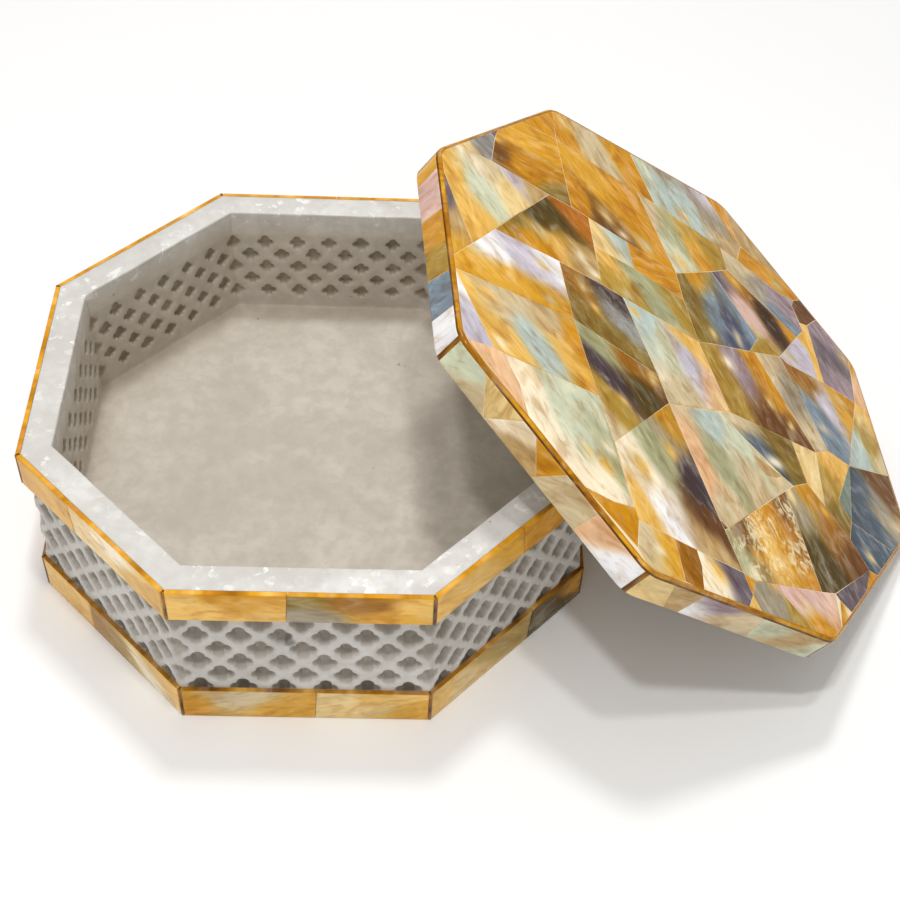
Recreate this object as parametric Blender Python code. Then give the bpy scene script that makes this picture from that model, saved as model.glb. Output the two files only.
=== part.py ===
"""Eight-sided carved marble box with mother-of-pearl bands, its inlaid lid leaning on the right-hand side.

Metres, +Z up. Origin: centre of the box's underside. X runs to the right, Y away from the front.
The box is a hollow marble vessel with a strip band at the rim and another at the foot. The lid is a
marble slab with a locating step underneath, edged and topped with shell. It leans with its step on
the right-hand rim edge and its lowest corner on the table.
"""
import math

import bmesh
import bpy

MM = 0.001

# ---- box ----
BOX_AP_X = 70.0        # centre to the side faces, at the shell bands
BOX_AP_Y = 69.0        # centre to the front and back faces
BOX_AP_D = 70.4        # centre to the diagonal faces
BOX_H = 51.2
TOP_BAND_H = 10.2
FOOT_BAND_H = 11.4
RIM_W = 8.3            # marble and shell together, seen from above
FLOOR_Z = 16.5         # inside floor
SHELL_T = 1.2          # shell strip thickness
GAP = 0.3              # glue line between shell and marble
MITRE_GAP = 0.3        # between neighbouring strips
WALL_RECESS = 1.5      # marble wall behind the shell face
# share of each side, counted anticlockwise seen from above, where the two strips of a band meet
TOP_SEAMS = (0.44, 0.58, 0.47, 0.60, 0.52, 0.38, 0.45, 0.53)
FOOT_SEAMS = (0.57, 0.42, 0.55, 0.40, 0.46, 0.36, 0.54, 0.64)

# ---- carved lattice on the outside walls: staggered lozenge pockets between diagonal straps ----
HALF_PITCHES = 12      # half pitches to a side, so six pockets in a row
ROW_Z0 = 11.7          # middle of the lowest row, which the foot band covers up to here
ROW_STEP = 5.2         # from one row to the next, half a pitch sideways
ROWS = 6
POCKET_W = 0.58        # half width at the mouth, as a share of a half pitch
POCKET_H = 3.4         # half height at the mouth
POCKET_FLOOR = 0.5     # size of the pocket's floor against its mouth
POCKET_DEPTH = 2.6
CORNER_DEPTH = 1.4     # pockets that wrap round a vertical corner are shallower

# ---- lid ----
LID_AP = (77.0, 76.5, 75.0, 76.5, 77.0, 75.5, 76.5, 75.5)   # side 0 is the lid's own +X, anticlockwise
LID_T = 9.2
LID_SHELL_T = 1.2
LID_STEP_H = 6.0       # locating step that drops into the opening
LID_STEP_CLEAR = 1.0
LID_TILT = math.radians(34.852)
LID_SPIN = math.radians(6.0)
LID_SHIFT_Y = 8.008


def side_normal(i):
    a = math.radians(45.0 * i)
    return math.cos(a), math.sin(a)


def ring(ap):
    """Corners between side i and side i+1 of an octagon with these eight apothems."""
    out = []
    for i in range(8):
        j = (i + 1) % 8
        (ax, ay), (bx, by) = side_normal(i), side_normal(j)
        det = ax * by - ay * bx
        out.append(((ap[i] * by - ap[j] * ay) / det, (ax * ap[j] - bx * ap[i]) / det))
    return out


def box_aps(inset=0.0):
    one = [BOX_AP_X, BOX_AP_D, BOX_AP_Y, BOX_AP_D] * 2
    return [a - inset for a in one]


def lid_aps(inset=0.0):
    return [a - inset for a in LID_AP]


def collection():
    return bpy.context.scene.collection


def add_mesh(name, verts, faces, colour, rough=0.3, metallic=0.0):
    me = bpy.data.meshes.new(name)
    bm = bmesh.new()
    vs = [bm.verts.new((x * MM, y * MM, z * MM)) for x, y, z in verts]
    for f in faces:
        bm.faces.new([vs[k] for k in f])
    bmesh.ops.recalc_face_normals(bm, faces=bm.faces)
    bm.normal_update()
    if bm.calc_volume(signed=True) < 0:
        bmesh.ops.reverse_faces(bm, faces=bm.faces)
    bm.to_mesh(me)
    bm.free()
    ob = bpy.data.objects.new(name, me)
    collection().objects.link(ob)
    mat = bpy.data.materials.new(name + "_mat")
    mat.use_nodes = True
    b = mat.node_tree.nodes["Principled BSDF"]
    b.inputs["Base Color"].default_value = (*colour, 1.0)
    b.inputs["Roughness"].default_value = rough
    b.inputs["Metallic"].default_value = metallic
    mat.diffuse_color = (*colour, 1.0)
    me.materials.append(mat)
    return ob


def lathe_octagon(name, profile, colour, rough):
    """Closed body from a closed profile of (apothem list, z) rings, each ring joined to the next."""
    verts, faces = [], []
    n = len(profile)
    for aps, z in profile:
        for x, y in ring(aps):
            verts.append((x, y, z))
    for k in range(n - 1):
        for i in range(8):
            j = (i + 1) % 8
            faces.append((k * 8 + i, k * 8 + j, (k + 1) * 8 + j, (k + 1) * 8 + i))
    faces.append(tuple(range(7, -1, -1)))
    faces.append(tuple((n - 1) * 8 + i for i in range(8)))
    return add_mesh(name, verts, faces, colour, rough)


def prism(name, foot, z0, z1, colour, rough=0.25):
    n = len(foot)
    verts = [(x, y, z0) for x, y in foot] + [(x, y, z1) for x, y in foot]
    faces = [tuple(range(n - 1, -1, -1)), tuple(range(n, 2 * n))]
    for i in range(n):
        j = (i + 1) % n
        faces.append((i, j, n + j, n + i))
    return add_mesh(name, verts, faces, colour, rough)


def along(p, q, t):
    return p[0] + (q[0] - p[0]) * t, p[1] + (q[1] - p[1]) * t


def trimmed(p, q, start, end):
    """The segment p-q shortened by these lengths at its two ends."""
    d = math.hypot(q[0] - p[0], q[1] - p[1])
    return along(p, q, start / d), along(p, q, 1.0 - end / d)


def strip_feet(aps_out, thickness, seam):
    """For each side the footprints of its strips: mitred at the corners, cut square at the seam."""
    outer = ring(aps_out)
    inner = ring([a - thickness for a in aps_out])
    for i in range(8):
        a = (i - 1) % 8
        half = MITRE_GAP / 2.0 / math.cos(math.radians(22.5))
        o0, o1 = trimmed(outer[a], outer[i], half, half)
        n0, n1 = trimmed(inner[a], inner[i], half, half)
        if seam is None:
            yield i, 0, (o0, o1, n1, n0)
            continue
        s = seam[i]
        mid = along(outer[a], outer[i], s)
        ux, uy = side_normal(i)
        tx, ty = -uy, ux
        h = MITRE_GAP / 2.0
        ma, mb = (mid[0] - tx * h, mid[1] - ty * h), (mid[0] + tx * h, mid[1] + ty * h)
        back = lambda p: (p[0] - ux * thickness, p[1] - uy * thickness)
        yield i, 0, (o0, ma, back(ma), n0)
        yield i, 1, (mb, o1, n1, back(mb))


SIDES = ("right", "back_right", "back", "back_left", "left", "front_left", "front", "front_right")

MARBLE = (0.78, 0.76, 0.72)
SHELL_TONES = ((0.72, 0.55, 0.30), (0.80, 0.70, 0.52), (0.66, 0.47, 0.22), (0.76, 0.66, 0.45))


def wall_point(k, z, depth):
    """A point on the outside wall, k half pitches round from the right-hand side's first corner, sunk by depth."""
    outline = ring(box_aps(WALL_RECESS + depth))
    side, step = divmod(k % (8 * HALF_PITCHES), HALF_PITCHES)
    x, y = along(outline[int(side) - 1], outline[int(side)], step / HALF_PITCHES)
    return x, y, z


def carved_box(name):
    """The vessel: plain inside, its outside walls cut with rows of blind lozenge pockets."""
    verts, faces, known = [], [], {}
    count = 8 * HALF_PITCHES

    def at(k, z, depth=0.0):
        key = (round(k % count, 4), round(z, 4), depth)
        if key not in known:
            known[key] = len(verts)
            verts.append(wall_point(k, z, depth))
        return known[key]

    def row_z(j):
        return ROW_Z0 + ROW_STEP * j

    even = range(0, count, 2)
    for j in range(ROWS):
        z = row_z(j)
        for k in range((j + 1) % 2, count, 2):
            deep = CORNER_DEPTH if k % HALF_PITCHES == 0 else POCKET_DEPTH
            w, h = POCKET_W, POCKET_H
            fw, fh = w * POCKET_FLOOR, h * POCKET_FLOOR
            left, right, top = at(k - 1, z), at(k + 1, z), at(k, row_z(j + 1))
            m_left, m_right, m_top = at(k - w, z), at(k + w, z), at(k, z + h)
            f_left, f_right, f_top = at(k - fw, z, deep), at(k + fw, z, deep), at(k, z + fh, deep)
            faces += [(left, m_left, m_top, top), (top, m_top, m_right, right)]
            faces += [(m_left, f_left, f_top, m_top), (m_top, f_top, f_right, m_right)]
            if j == 0:
                faces += [(m_left, m_right, f_right, f_left), (f_left, f_right, f_top)]
                continue
            foot, m_foot, f_foot = at(k, row_z(j - 1)), at(k, z - h), at(k, z - fh, deep)
            faces += [(foot, m_foot, m_left, left), (right, m_right, m_foot, foot)]
            faces += [(m_foot, f_foot, f_left, m_left), (m_right, f_right, f_foot, m_foot)]
            faces += [(f_left, f_foot, f_top), (f_foot, f_right, f_top)]
    z_top = row_z(ROWS)
    for k in even:
        # plain wall above the top row and below the lowest one
        faces.append((at(k + 1, row_z(ROWS - 1)), at(k + 2, z_top), at(k, z_top)))
        faces.append((at(k, z_top), at(k + 2, z_top), at(k + 2, BOX_H), at(k, BOX_H)))
        faces.append((at(k, 0.0), at(k + 2, 0.0), at(k + 2, ROW_Z0), at(k + 1 + POCKET_W, ROW_Z0),
                      at(k + 1 - POCKET_W, ROW_Z0), at(k, ROW_Z0)))
        # rim and inside wall
        inner = RIM_W - WALL_RECESS
        faces.append((at(k, BOX_H), at(k + 2, BOX_H), at(k + 2, BOX_H, inner), at(k, BOX_H, inner)))
        faces.append((at(k, BOX_H, inner), at(k + 2, BOX_H, inner), at(k + 2, FLOOR_Z, inner), at(k, FLOOR_Z, inner)))
    faces.append(tuple(at(k, FLOOR_Z, RIM_W - WALL_RECESS) for k in even))
    faces.append(tuple(at(k, 0.0) for k in reversed(even)))
    return add_mesh(name, verts, faces, MARBLE, 0.3)


def build_box():
    top0, foot1 = BOX_H - TOP_BAND_H, FOOT_BAND_H
    carved_box("box_body")
    for label, z0, z1, seam in (("rim_shell", top0, BOX_H, TOP_SEAMS), ("foot_shell", 0.0, foot1, FOOT_SEAMS)):
        for i, k, foot in strip_feet(box_aps(0.0), SHELL_T, seam):
            prism("%s_%s_%d" % (label, SIDES[i], k + 1), foot, z0, z1, SHELL_TONES[(i * 2 + k) % 4])


def lid_pose():
    """Empties that carry the lid: the outer one tilts it about Y, the inner one spins it about its own axis."""
    u = (math.cos(LID_TILT), 0.0, -math.sin(LID_TILT))
    n = (math.sin(LID_TILT), 0.0, math.cos(LID_TILT))
    step = LID_STEP_H + GAP
    base = (BOX_AP_X + step * n[0], 0.0, BOX_H + step * n[2])
    # how far the lid slides down its own slope until its lowest underside corner meets the table
    cs, sn = math.cos(LID_SPIN), math.sin(LID_SPIN)
    lowest = min(base[2] + (x * cs - y * sn) * u[2] for x, y in ring(LID_AP))
    su = lowest / math.sin(LID_TILT)
    at = (base[0] + su * u[0], LID_SHIFT_Y, base[2] + su * u[2])
    tilt = bpy.data.objects.new("lid_tilt", None)
    collection().objects.link(tilt)
    tilt.location = [c * MM for c in at]
    tilt.rotation_euler = (0.0, LID_TILT, 0.0)
    spin = bpy.data.objects.new("lid_spin", None)
    collection().objects.link(spin)
    spin.parent = tilt
    spin.rotation_euler = (0.0, 0.0, LID_SPIN)
    return spin


def build_lid():
    spin = lid_pose()
    back = LID_SHELL_T + GAP
    opening = [a - RIM_W - LID_STEP_CLEAR for a in box_aps(0.0)]
    core = lathe_octagon("lid_slab", [
        (opening, -LID_STEP_H),
        (opening, 0.0),
        (lid_aps(back), 0.0),
        (lid_aps(back), LID_T - back),
    ], MARBLE, 0.3)
    parts = [core]
    for i, k, foot in strip_feet(lid_aps(0.0), LID_SHELL_T, None):
        parts.append(prism("lid_edge_%s" % SIDES[i], foot, 0.0, LID_T, SHELL_TONES[i % 4]))
    top = ring(lid_aps(back))
    parts.append(prism("lid_mosaic", top, LID_T - LID_SHELL_T, LID_T, (0.70, 0.62, 0.45)))
    for ob in parts:
        ob.parent = spin


def main():
    for ob in list(bpy.data.objects):
        bpy.data.objects.remove(ob, do_unlink=True)
    build_box()
    build_lid()


main()
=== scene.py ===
"""Looks of the eight-sided marble and shell box. Metres, +Z up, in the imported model's own frame.

Lengths in the tables and functions below are millimetres and are turned into metres when a mesh is made.
"""
import math
import random

import bmesh
import bpy
import numpy as np
from mathutils import Matrix, Vector, noise


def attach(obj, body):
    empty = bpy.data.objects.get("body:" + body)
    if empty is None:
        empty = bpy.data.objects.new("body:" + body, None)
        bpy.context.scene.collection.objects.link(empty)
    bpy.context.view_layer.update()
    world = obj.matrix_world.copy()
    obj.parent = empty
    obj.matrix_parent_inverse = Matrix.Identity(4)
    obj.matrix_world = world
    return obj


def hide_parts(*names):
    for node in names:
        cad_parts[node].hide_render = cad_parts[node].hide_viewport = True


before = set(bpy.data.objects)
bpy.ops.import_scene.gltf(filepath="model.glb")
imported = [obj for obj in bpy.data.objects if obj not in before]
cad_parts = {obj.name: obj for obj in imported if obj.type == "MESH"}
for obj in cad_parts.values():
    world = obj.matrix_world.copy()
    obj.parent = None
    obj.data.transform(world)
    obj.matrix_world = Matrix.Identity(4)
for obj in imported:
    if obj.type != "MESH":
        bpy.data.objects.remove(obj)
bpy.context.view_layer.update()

MM = 0.001

# ---- sizes, as in the solids ----
BOX_AP = (70.0, 70.4, 69.0, 70.4, 70.0, 70.4, 69.0, 70.4)
BOX_H = 51.2
TOP_BAND_Z = 41.0
FOOT_BAND_Z = 11.4
RIM_W = 8.3
FLOOR_Z = 16.5
SHELL_T = 1.2
TOP_SEAMS = (0.44, 0.58, 0.47, 0.60, 0.52, 0.38, 0.45, 0.53)
FOOT_SEAMS = (0.57, 0.42, 0.55, 0.40, 0.46, 0.36, 0.54, 0.64)
HALF_PITCHES = 12
ROW_Z0, ROW_STEP, ROWS = 11.7, 5.2, 6
LID_AP = (77.0, 76.5, 75.0, 76.5, 77.0, 75.5, 76.5, 75.5)
LID_T = 9.2
LID_STEP_H = 6.0
LID_TILT = math.radians(34.852)
LID_SPIN = math.radians(6.0)
LID_SHIFT_Y = 8.008
LID_GAP = 0.3
SIDES = ("right", "back_right", "back", "back_left", "left", "front_left", "front", "front_right")

# ---- tones of the shell, by name (sRGB 0-255) ----
TONES = {
    "am": (204, 149, 30), "da": (160, 110, 18), "br": (118, 78, 20), "db": (70, 45, 14), "ch": (108, 71, 36),
    "ru": (182, 118, 36), "go": (216, 167, 60), "ho": (226, 184, 98), "pg": (228, 203, 146), "cr": (240, 228, 202),
    "ta": (190, 162, 114), "be": (206, 189, 154), "ol": (142, 118, 46), "do": (92, 76, 24), "og": (176, 146, 62),
    "sa": (168, 168, 132), "gr": (204, 208, 184), "aq": (184, 197, 192), "te": (124, 137, 124),
    "st": (128, 143, 157), "sl": (84, 97, 111), "in": (84, 88, 112), "la": (198, 192, 205), "ma": (156, 137, 144),
    "pu": (110, 97, 105), "pl": (78, 63, 68), "pe": (236, 236, 238), "wh": (252, 252, 250), "pi": (216, 184, 174),
    "pc": (224, 184, 144), "sm": (206, 152, 132), "gb": (162, 152, 132), "gy": (152, 152, 152),
}


def linear(c):
    out = []
    for v in c:
        v = v / 255.0
        out.append(v / 12.92 if v <= 0.04045 else ((v + 0.055) / 1.055) ** 2.4)
    return tuple(out)


LIN = {k: np.array(linear(v)) for k, v in TONES.items()}
SRGB = {k: np.array(v) / 255.0 for k, v in TONES.items()}


def side_normal(i):
    a = math.radians(45.0 * i)
    return math.cos(a), math.sin(a)


def ring(ap):
    """Corners between side i and side i+1 of an octagon with these eight apothems."""
    out = []
    for i in range(8):
        j = (i + 1) % 8
        (ax, ay), (bx, by) = side_normal(i), side_normal(j)
        det = ax * by - ay * bx
        out.append(((ap[i] * by - ap[j] * ay) / det, (ax * ap[j] - bx * ap[i]) / det))
    return out


def inset(ap, d):
    return [a - d for a in ap]


def link(ob):
    bpy.context.scene.collection.objects.link(ob)
    return ob


# =====================================================================================
# materials
# =====================================================================================

class Nodes:
    """Small helper for building a node material."""

    def __init__(self, name):
        self.mat = bpy.data.materials.new(name)
        self.mat.use_nodes = True
        self.t = self.mat.node_tree
        self.bsdf = self.t.nodes["Principled BSDF"]

    def add(self, kind, **props):
        n = self.t.nodes.new(kind)
        for k, v in props.items():
            setattr(n, k, v)
        return n

    def link(self, a, b):
        self.t.links.new(a, b)

    def put(self, socket, value):
        if isinstance(value, bpy.types.NodeSocket):
            self.link(value, socket)
        else:
            socket.default_value = value

    def attr(self, name, out="Color"):
        return self.add("ShaderNodeAttribute", attribute_name=name).outputs[out]

    def coord(self, scale=(1, 1, 1), source=None, offset=(0, 0, 0)):
        src = source if source is not None else self.add("ShaderNodeTexCoord").outputs["Object"]
        m = self.add("ShaderNodeMapping")
        m.inputs["Scale"].default_value = scale
        m.inputs["Location"].default_value = offset
        self.link(src, m.inputs["Vector"])
        return m.outputs["Vector"]

    def noise(self, vec, scale=1.0, detail=4.0, rough=0.55, distortion=0.0):
        n = self.add("ShaderNodeTexNoise")
        n.inputs["Scale"].default_value = scale
        n.inputs["Detail"].default_value = detail
        n.inputs["Roughness"].default_value = rough
        n.inputs["Distortion"].default_value = distortion
        self.link(vec, n.inputs["Vector"])
        return n.outputs["Fac"]

    def voronoi(self, vec, scale=1.0, feature="F1", out="Distance", rand=1.0):
        n = self.add("ShaderNodeTexVoronoi", feature=feature)
        n.inputs["Scale"].default_value = scale
        n.inputs["Randomness"].default_value = rand
        self.link(vec, n.inputs["Vector"])
        return n.outputs[out]

    def ramp(self, fac, a, b, lo=0.0, hi=1.0):
        """Smooth step of fac from a to b, giving lo to hi."""
        n = self.add("ShaderNodeMapRange", interpolation_type="SMOOTHSTEP")
        self.put(n.inputs["Value"], fac)
        n.inputs["From Min"].default_value = a
        n.inputs["From Max"].default_value = b
        n.inputs["To Min"].default_value = lo
        n.inputs["To Max"].default_value = hi
        return n.outputs["Result"]

    def math(self, op, a, b=0.0):
        n = self.add("ShaderNodeMath", operation=op)
        self.put(n.inputs[0], a)
        self.put(n.inputs[1], b)
        return n.outputs[0]

    def mix(self, fac, a, b, mode="MIX"):
        n = self.add("ShaderNodeMix", data_type="RGBA", blend_type=mode)
        self.put(n.inputs["Factor"], fac)
        self.put(n.inputs[6], a)
        self.put(n.inputs[7], b)
        return n.outputs[2]

    def split(self, vec):
        n = self.add("ShaderNodeSeparateXYZ")
        self.link(vec, n.inputs[0])
        return n.outputs

    def bump(self, height, strength, distance, normal=None):
        n = self.add("ShaderNodeBump")
        n.inputs["Strength"].default_value = strength
        n.inputs["Distance"].default_value = distance
        self.link(height, n.inputs["Height"])
        if normal is not None:
            self.link(normal, n.inputs["Normal"])
        return n.outputs["Normal"]


def rgba(c):
    return (*linear(c), 1.0)


def marble_material():
    """Fine-grained white marble: cloudy body, bright crystal flakes, with painted warm grey shade in the cuts and
    painted warm shade inside the box and under the lid.
    """
    n = Nodes("white_marble")
    obj = n.add("ShaderNodeTexCoord").outputs["Object"]
    # zone x: how deep in a cut, which sets the painted shade there; y: polish; z: painted warm shade inside the box and
    # under the lid
    zone = n.split(n.attr("zone", "Vector"))          # x: how deep in a cut, y: polish, z: warmth
    cloud = n.noise(n.coord((38, 38, 38), obj), 1.0, 5, 0.6, 0.6)
    fine = n.noise(n.coord((260, 260, 260), obj), 1.0, 4, 0.6, 0.3)
    grain = n.noise(n.coord((900, 900, 900), obj), 1.0, 2, 0.5)
    cell = n.voronoi(n.coord((520, 520, 520), obj), 1.0, "F1", "Color")
    cellv = n.split(cell)[0]
    flake = n.math("MULTIPLY", n.ramp(cellv, 0.62, 0.95), n.ramp(n.noise(n.coord((300, 300, 300), obj, (3, 1, 2)), 1.0, 4, 0.7), 0.46, 0.62))
    flake = n.math("MULTIPLY", flake, n.ramp(n.noise(n.coord((70, 70, 70), obj, (9, 4, 6)), 1.0, 2, 0.6), 0.40, 0.58, 0.25, 1.0))
    flake = n.math("MULTIPLY", flake, n.ramp(zone[1], 0.2, 1.0, 0.22, 1.0))
    # the flakes fade where the painted warm shade lies
    flake = n.math("MULTIPLY", flake, n.ramp(zone[2], 0.2, 0.7, 1.0, 0.12))
    base = n.mix(n.ramp(cloud, 0.35, 0.68), rgba((203, 200, 194)), rgba((221, 219, 215)))
    base = n.mix(n.ramp(fine, 0.36, 0.66), base, n.mix(0.5, base, rgba((194, 190, 183))))
    base = n.mix(n.math("MULTIPLY", flake, 0.80), base, rgba((247, 247, 246)))
    # painted sheen: polished parts, chiefly the rim's top, painted a little lighter; the polish itself is real and also
    # lowers the roughness
    base = n.mix(n.math("MULTIPLY", zone[1], 0.30), base, n.mix(1.0, base, (1.10, 1.10, 1.10, 1.0), "MULTIPLY"))
    # a few dark specks
    speck = n.math("MULTIPLY", n.ramp(n.voronoi(n.coord((95, 95, 95), obj, (5, 7, 1)), 1.0), 0.055, 0.03), n.ramp(grain, 0.5, 0.56))
    base = n.mix(n.math("MULTIPLY", speck, 0.7), base, rgba((96, 90, 84)))
    # a grey mark in the stone on the front wall
    far = n.add("ShaderNodeVectorMath", operation="DISTANCE")
    n.link(obj, far.inputs[0])
    far.inputs[1].default_value = (-0.0030, -0.0670, 0.0305)
    mark = n.ramp(n.math("ADD", far.outputs["Value"], n.math("MULTIPLY", n.noise(n.coord((500, 500, 500), obj), 1.0, 3, 0.6), 0.0022)), 0.0034, 0.0016)
    base = n.mix(n.math("MULTIPLY", mark, 0.75), base, rgba((104, 100, 96)))
    # painted shade: warm darkening wherever zone z is set, inside the box and under the lid
    base = n.mix(n.math("MULTIPLY", zone[2], 1.0), base, n.mix(1.0, base, rgba((228, 213, 190)), "MULTIPLY"))
    # painted shade: warm grey darkening deep in the cuts
    cut = n.math("MULTIPLY", zone[0], n.ramp(fine, 0.2, 0.75, 0.75, 1.0))
    base = n.mix(cut, base, n.mix(1.0, base, rgba((186, 174, 158)), "MULTIPLY"))
    n.link(base, n.bsdf.inputs["Base Color"])
    rough = n.math("SUBTRACT", n.ramp(fine, 0.3, 0.7, 0.42, 0.58), n.math("MULTIPLY", zone[1], 0.06))
    rough = n.math("SUBTRACT", rough, n.math("MULTIPLY", flake, 0.12))
    n.link(rough, n.bsdf.inputs["Roughness"])
    b1 = n.bump(n.noise(n.coord((150, 150, 150), obj), 1.0, 3, 0.5), 0.5, 0.0004)
    b2 = n.bump(grain, 0.35, 0.00012, b1)
    n.link(b2, n.bsdf.inputs["Normal"])
    n.bsdf.inputs["Subsurface Weight"].default_value = 0.12
    n.bsdf.inputs["Subsurface Radius"].default_value = (1.0, 0.8, 0.6)
    n.bsdf.inputs["Subsurface Scale"].default_value = 0.0015
    n.bsdf.inputs["Specular IOR Level"].default_value = 0.32
    n.bsdf.inputs["Coat Weight"].default_value = 0.0
    return n.mat


def shell_material(name, contrast=1.0, glint=1.0, rough0=0.14, value=1.13, saturation=1.02, gamma=1.14, lace=False):
    """Polished mother-of-pearl: the painted tint, with broad silky clouds that are partly a painted sheen, a soft grain
    and painted pale glints along it.
    """
    n = Nodes(name)
    lift = n.add("ShaderNodeHueSaturation")
    n.link(n.attr("tint"), lift.inputs["Color"])
    lift.inputs["Saturation"].default_value = saturation
    lift.inputs["Value"].default_value = value
    deepen = n.add("ShaderNodeGamma")
    n.link(lift.outputs["Color"], deepen.inputs["Color"])
    deepen.inputs["Gamma"].default_value = gamma
    tint = deepen.outputs["Color"]
    suv = n.attr("suv", "Vector")                     # x along the streaks, y across them (mm), z another slice for each tile
    silk = n.noise(n.coord((0.085, 0.17, 1.0), suv), 1.0, 2, 0.5, 1.2)
    fine = n.noise(n.coord((0.12, 0.38, 1.0), suv, (4, 9, 2)), 1.0, 2, 0.45, 1.8)
    grain = n.noise(n.coord((0.22, 1.1, 1.0), suv, (1, 2, 6)), 1.0, 2, 0.5, 1.2)
    glint_noise = n.noise(n.coord((0.42, 0.9, 1.0), suv, (11, 3, 7)), 1.0, 8, 0.72, 1.6)
    where = n.noise(n.coord((0.10, 0.16, 1.0), suv, (2, 5, 1)), 1.0, 2, 0.5)
    # clouds darken and lighten the tint: the shell's own figure, its lighter clouds and pale peaks partly a painted
    # silky sheen
    dark = n.mix(1.0, tint, rgba((214, 186, 146)), "MULTIPLY")
    light = n.mix(0.24, n.mix(1.0, tint, (1.22, 1.20, 1.15, 1.0), "MULTIPLY"), rgba((252, 244, 220)))
    col = n.mix(n.ramp(silk, 0.30, 0.52, contrast * 0.60, 0.0), tint, dark)
    col = n.mix(n.ramp(silk, 0.52, 0.76, 0.0, contrast * 0.62), col, light)
    col = n.mix(n.ramp(fine, 0.50, 0.74, 0.0, 0.30 * contrast), col, n.mix(0.30, n.mix(1.0, col, (1.12, 1.10, 1.06, 1.0), "MULTIPLY"), rgba((252, 246, 226))))
    col = n.mix(n.ramp(fine, 0.50, 0.28, 0.0, 0.46 * contrast), col, n.mix(1.0, col, rgba((212, 180, 136)), "MULTIPLY"))
    col = n.mix(n.ramp(grain, 0.40, 0.65, 0.0, 0.10 * contrast), col, n.mix(1.0, col, rgba((222, 206, 182)), "MULTIPLY"))
    # painted highlights: thin pale glint lines along the streaks, in some places only
    ridge = n.math("ABSOLUTE", n.math("SUBTRACT", glint_noise, 0.5))
    line = n.math("MULTIPLY", n.ramp(ridge, 0.022, 0.004), n.ramp(where, 0.62, 0.74))
    col = n.mix(n.math("MULTIPLY", line, 0.26 * glint), col, rgba((253, 248, 232)))
    if lace:
        # one crackled tile: pale flakes over the amber, thick near its bright end
        much = n.split(n.attr("lace", "Vector"))[0]
        crack = n.noise(n.coord((0.20, 0.34, 1.0), suv, (6, 6, 6)), 1.0, 6, 0.62, 2.4)
        patch = n.noise(n.coord((0.16, 0.16, 1.0), suv, (8, 3, 5)), 1.0, 2, 0.5)
        fleck = n.math("MULTIPLY", n.ramp(crack, 0.44, 0.58), n.ramp(patch, 0.40, 0.60, 0.12, 1.0))
        col = n.mix(n.math("MULTIPLY", n.math("MULTIPLY", fleck, much), 0.66), col, rgba((255, 240, 192)))
        burnt = n.math("MULTIPLY", n.ramp(crack, 0.46, 0.34), much)
        col = n.mix(n.math("MULTIPLY", burnt, 0.55), col, rgba((206, 132, 14)))
    # faint play of colour
    hue = n.noise(n.coord((0.05, 0.16, 1.0), suv, (21, 8, 3)), 1.0, 3, 0.5)
    col = n.mix(n.ramp(hue, 0.58, 0.78, 0.0, 0.08), col, rgba((178, 208, 204)))
    col = n.mix(n.ramp(hue, 0.42, 0.22, 0.0, 0.05), col, rgba((226, 186, 184)))
    n.link(col, n.bsdf.inputs["Base Color"])
    n.link(n.ramp(fine, 0.3, 0.7, rough0, rough0 + 0.14), n.bsdf.inputs["Roughness"])
    h = n.math("ADD", n.math("MULTIPLY", silk, 0.75), n.math("MULTIPLY", fine, 0.25))
    n.link(n.bump(h, 0.22, 0.0002), n.bsdf.inputs["Normal"])
    n.bsdf.inputs["Metallic"].default_value = 0.0
    n.bsdf.inputs["Specular IOR Level"].default_value = 0.14
    n.bsdf.inputs["Coat Weight"].default_value = 0.07
    n.bsdf.inputs["Coat Roughness"].default_value = 0.06
    return n.mat


def resin_material():
    """The thin lines between tiles: cream to gold, darker here and there."""
    n = Nodes("seam_line")
    obj = n.add("ShaderNodeTexCoord").outputs["Object"]
    a = n.noise(n.coord((55, 55, 55), obj), 1.0, 3, 0.5)
    b = n.noise(n.coord((400, 400, 400), obj), 1.0, 3, 0.5)
    col = n.mix(n.ramp(a, 0.36, 0.56), rgba((214, 164, 78)), rgba((244, 224, 178)))
    col = n.mix(n.ramp(a, 0.36, 0.24), col, rgba((128, 82, 26)))
    col = n.mix(n.ramp(b, 0.45, 0.7, 0.0, 0.3), col, rgba((250, 240, 214)))
    n.link(col, n.bsdf.inputs["Base Color"])
    n.link(n.ramp(b, 0.3, 0.7, 0.25, 0.45), n.bsdf.inputs["Roughness"])
    n.link(n.bump(b, 0.3, 0.0001), n.bsdf.inputs["Normal"])
    return n.mat


def floor_material():
    n = Nodes("pale_floor")
    obj = n.add("ShaderNodeTexCoord").outputs["Object"]
    a = n.noise(n.coord((3, 3, 3), obj), 1.0, 3, 0.5)
    n.link(n.mix(a, rgba((247, 247, 247)), rgba((251, 251, 250))), n.bsdf.inputs["Base Color"])
    n.bsdf.inputs["Roughness"].default_value = 0.55
    n.bsdf.inputs["Specular IOR Level"].default_value = 0.25
    return n.mat


# =====================================================================================
# mesh helpers
# =====================================================================================

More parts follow.
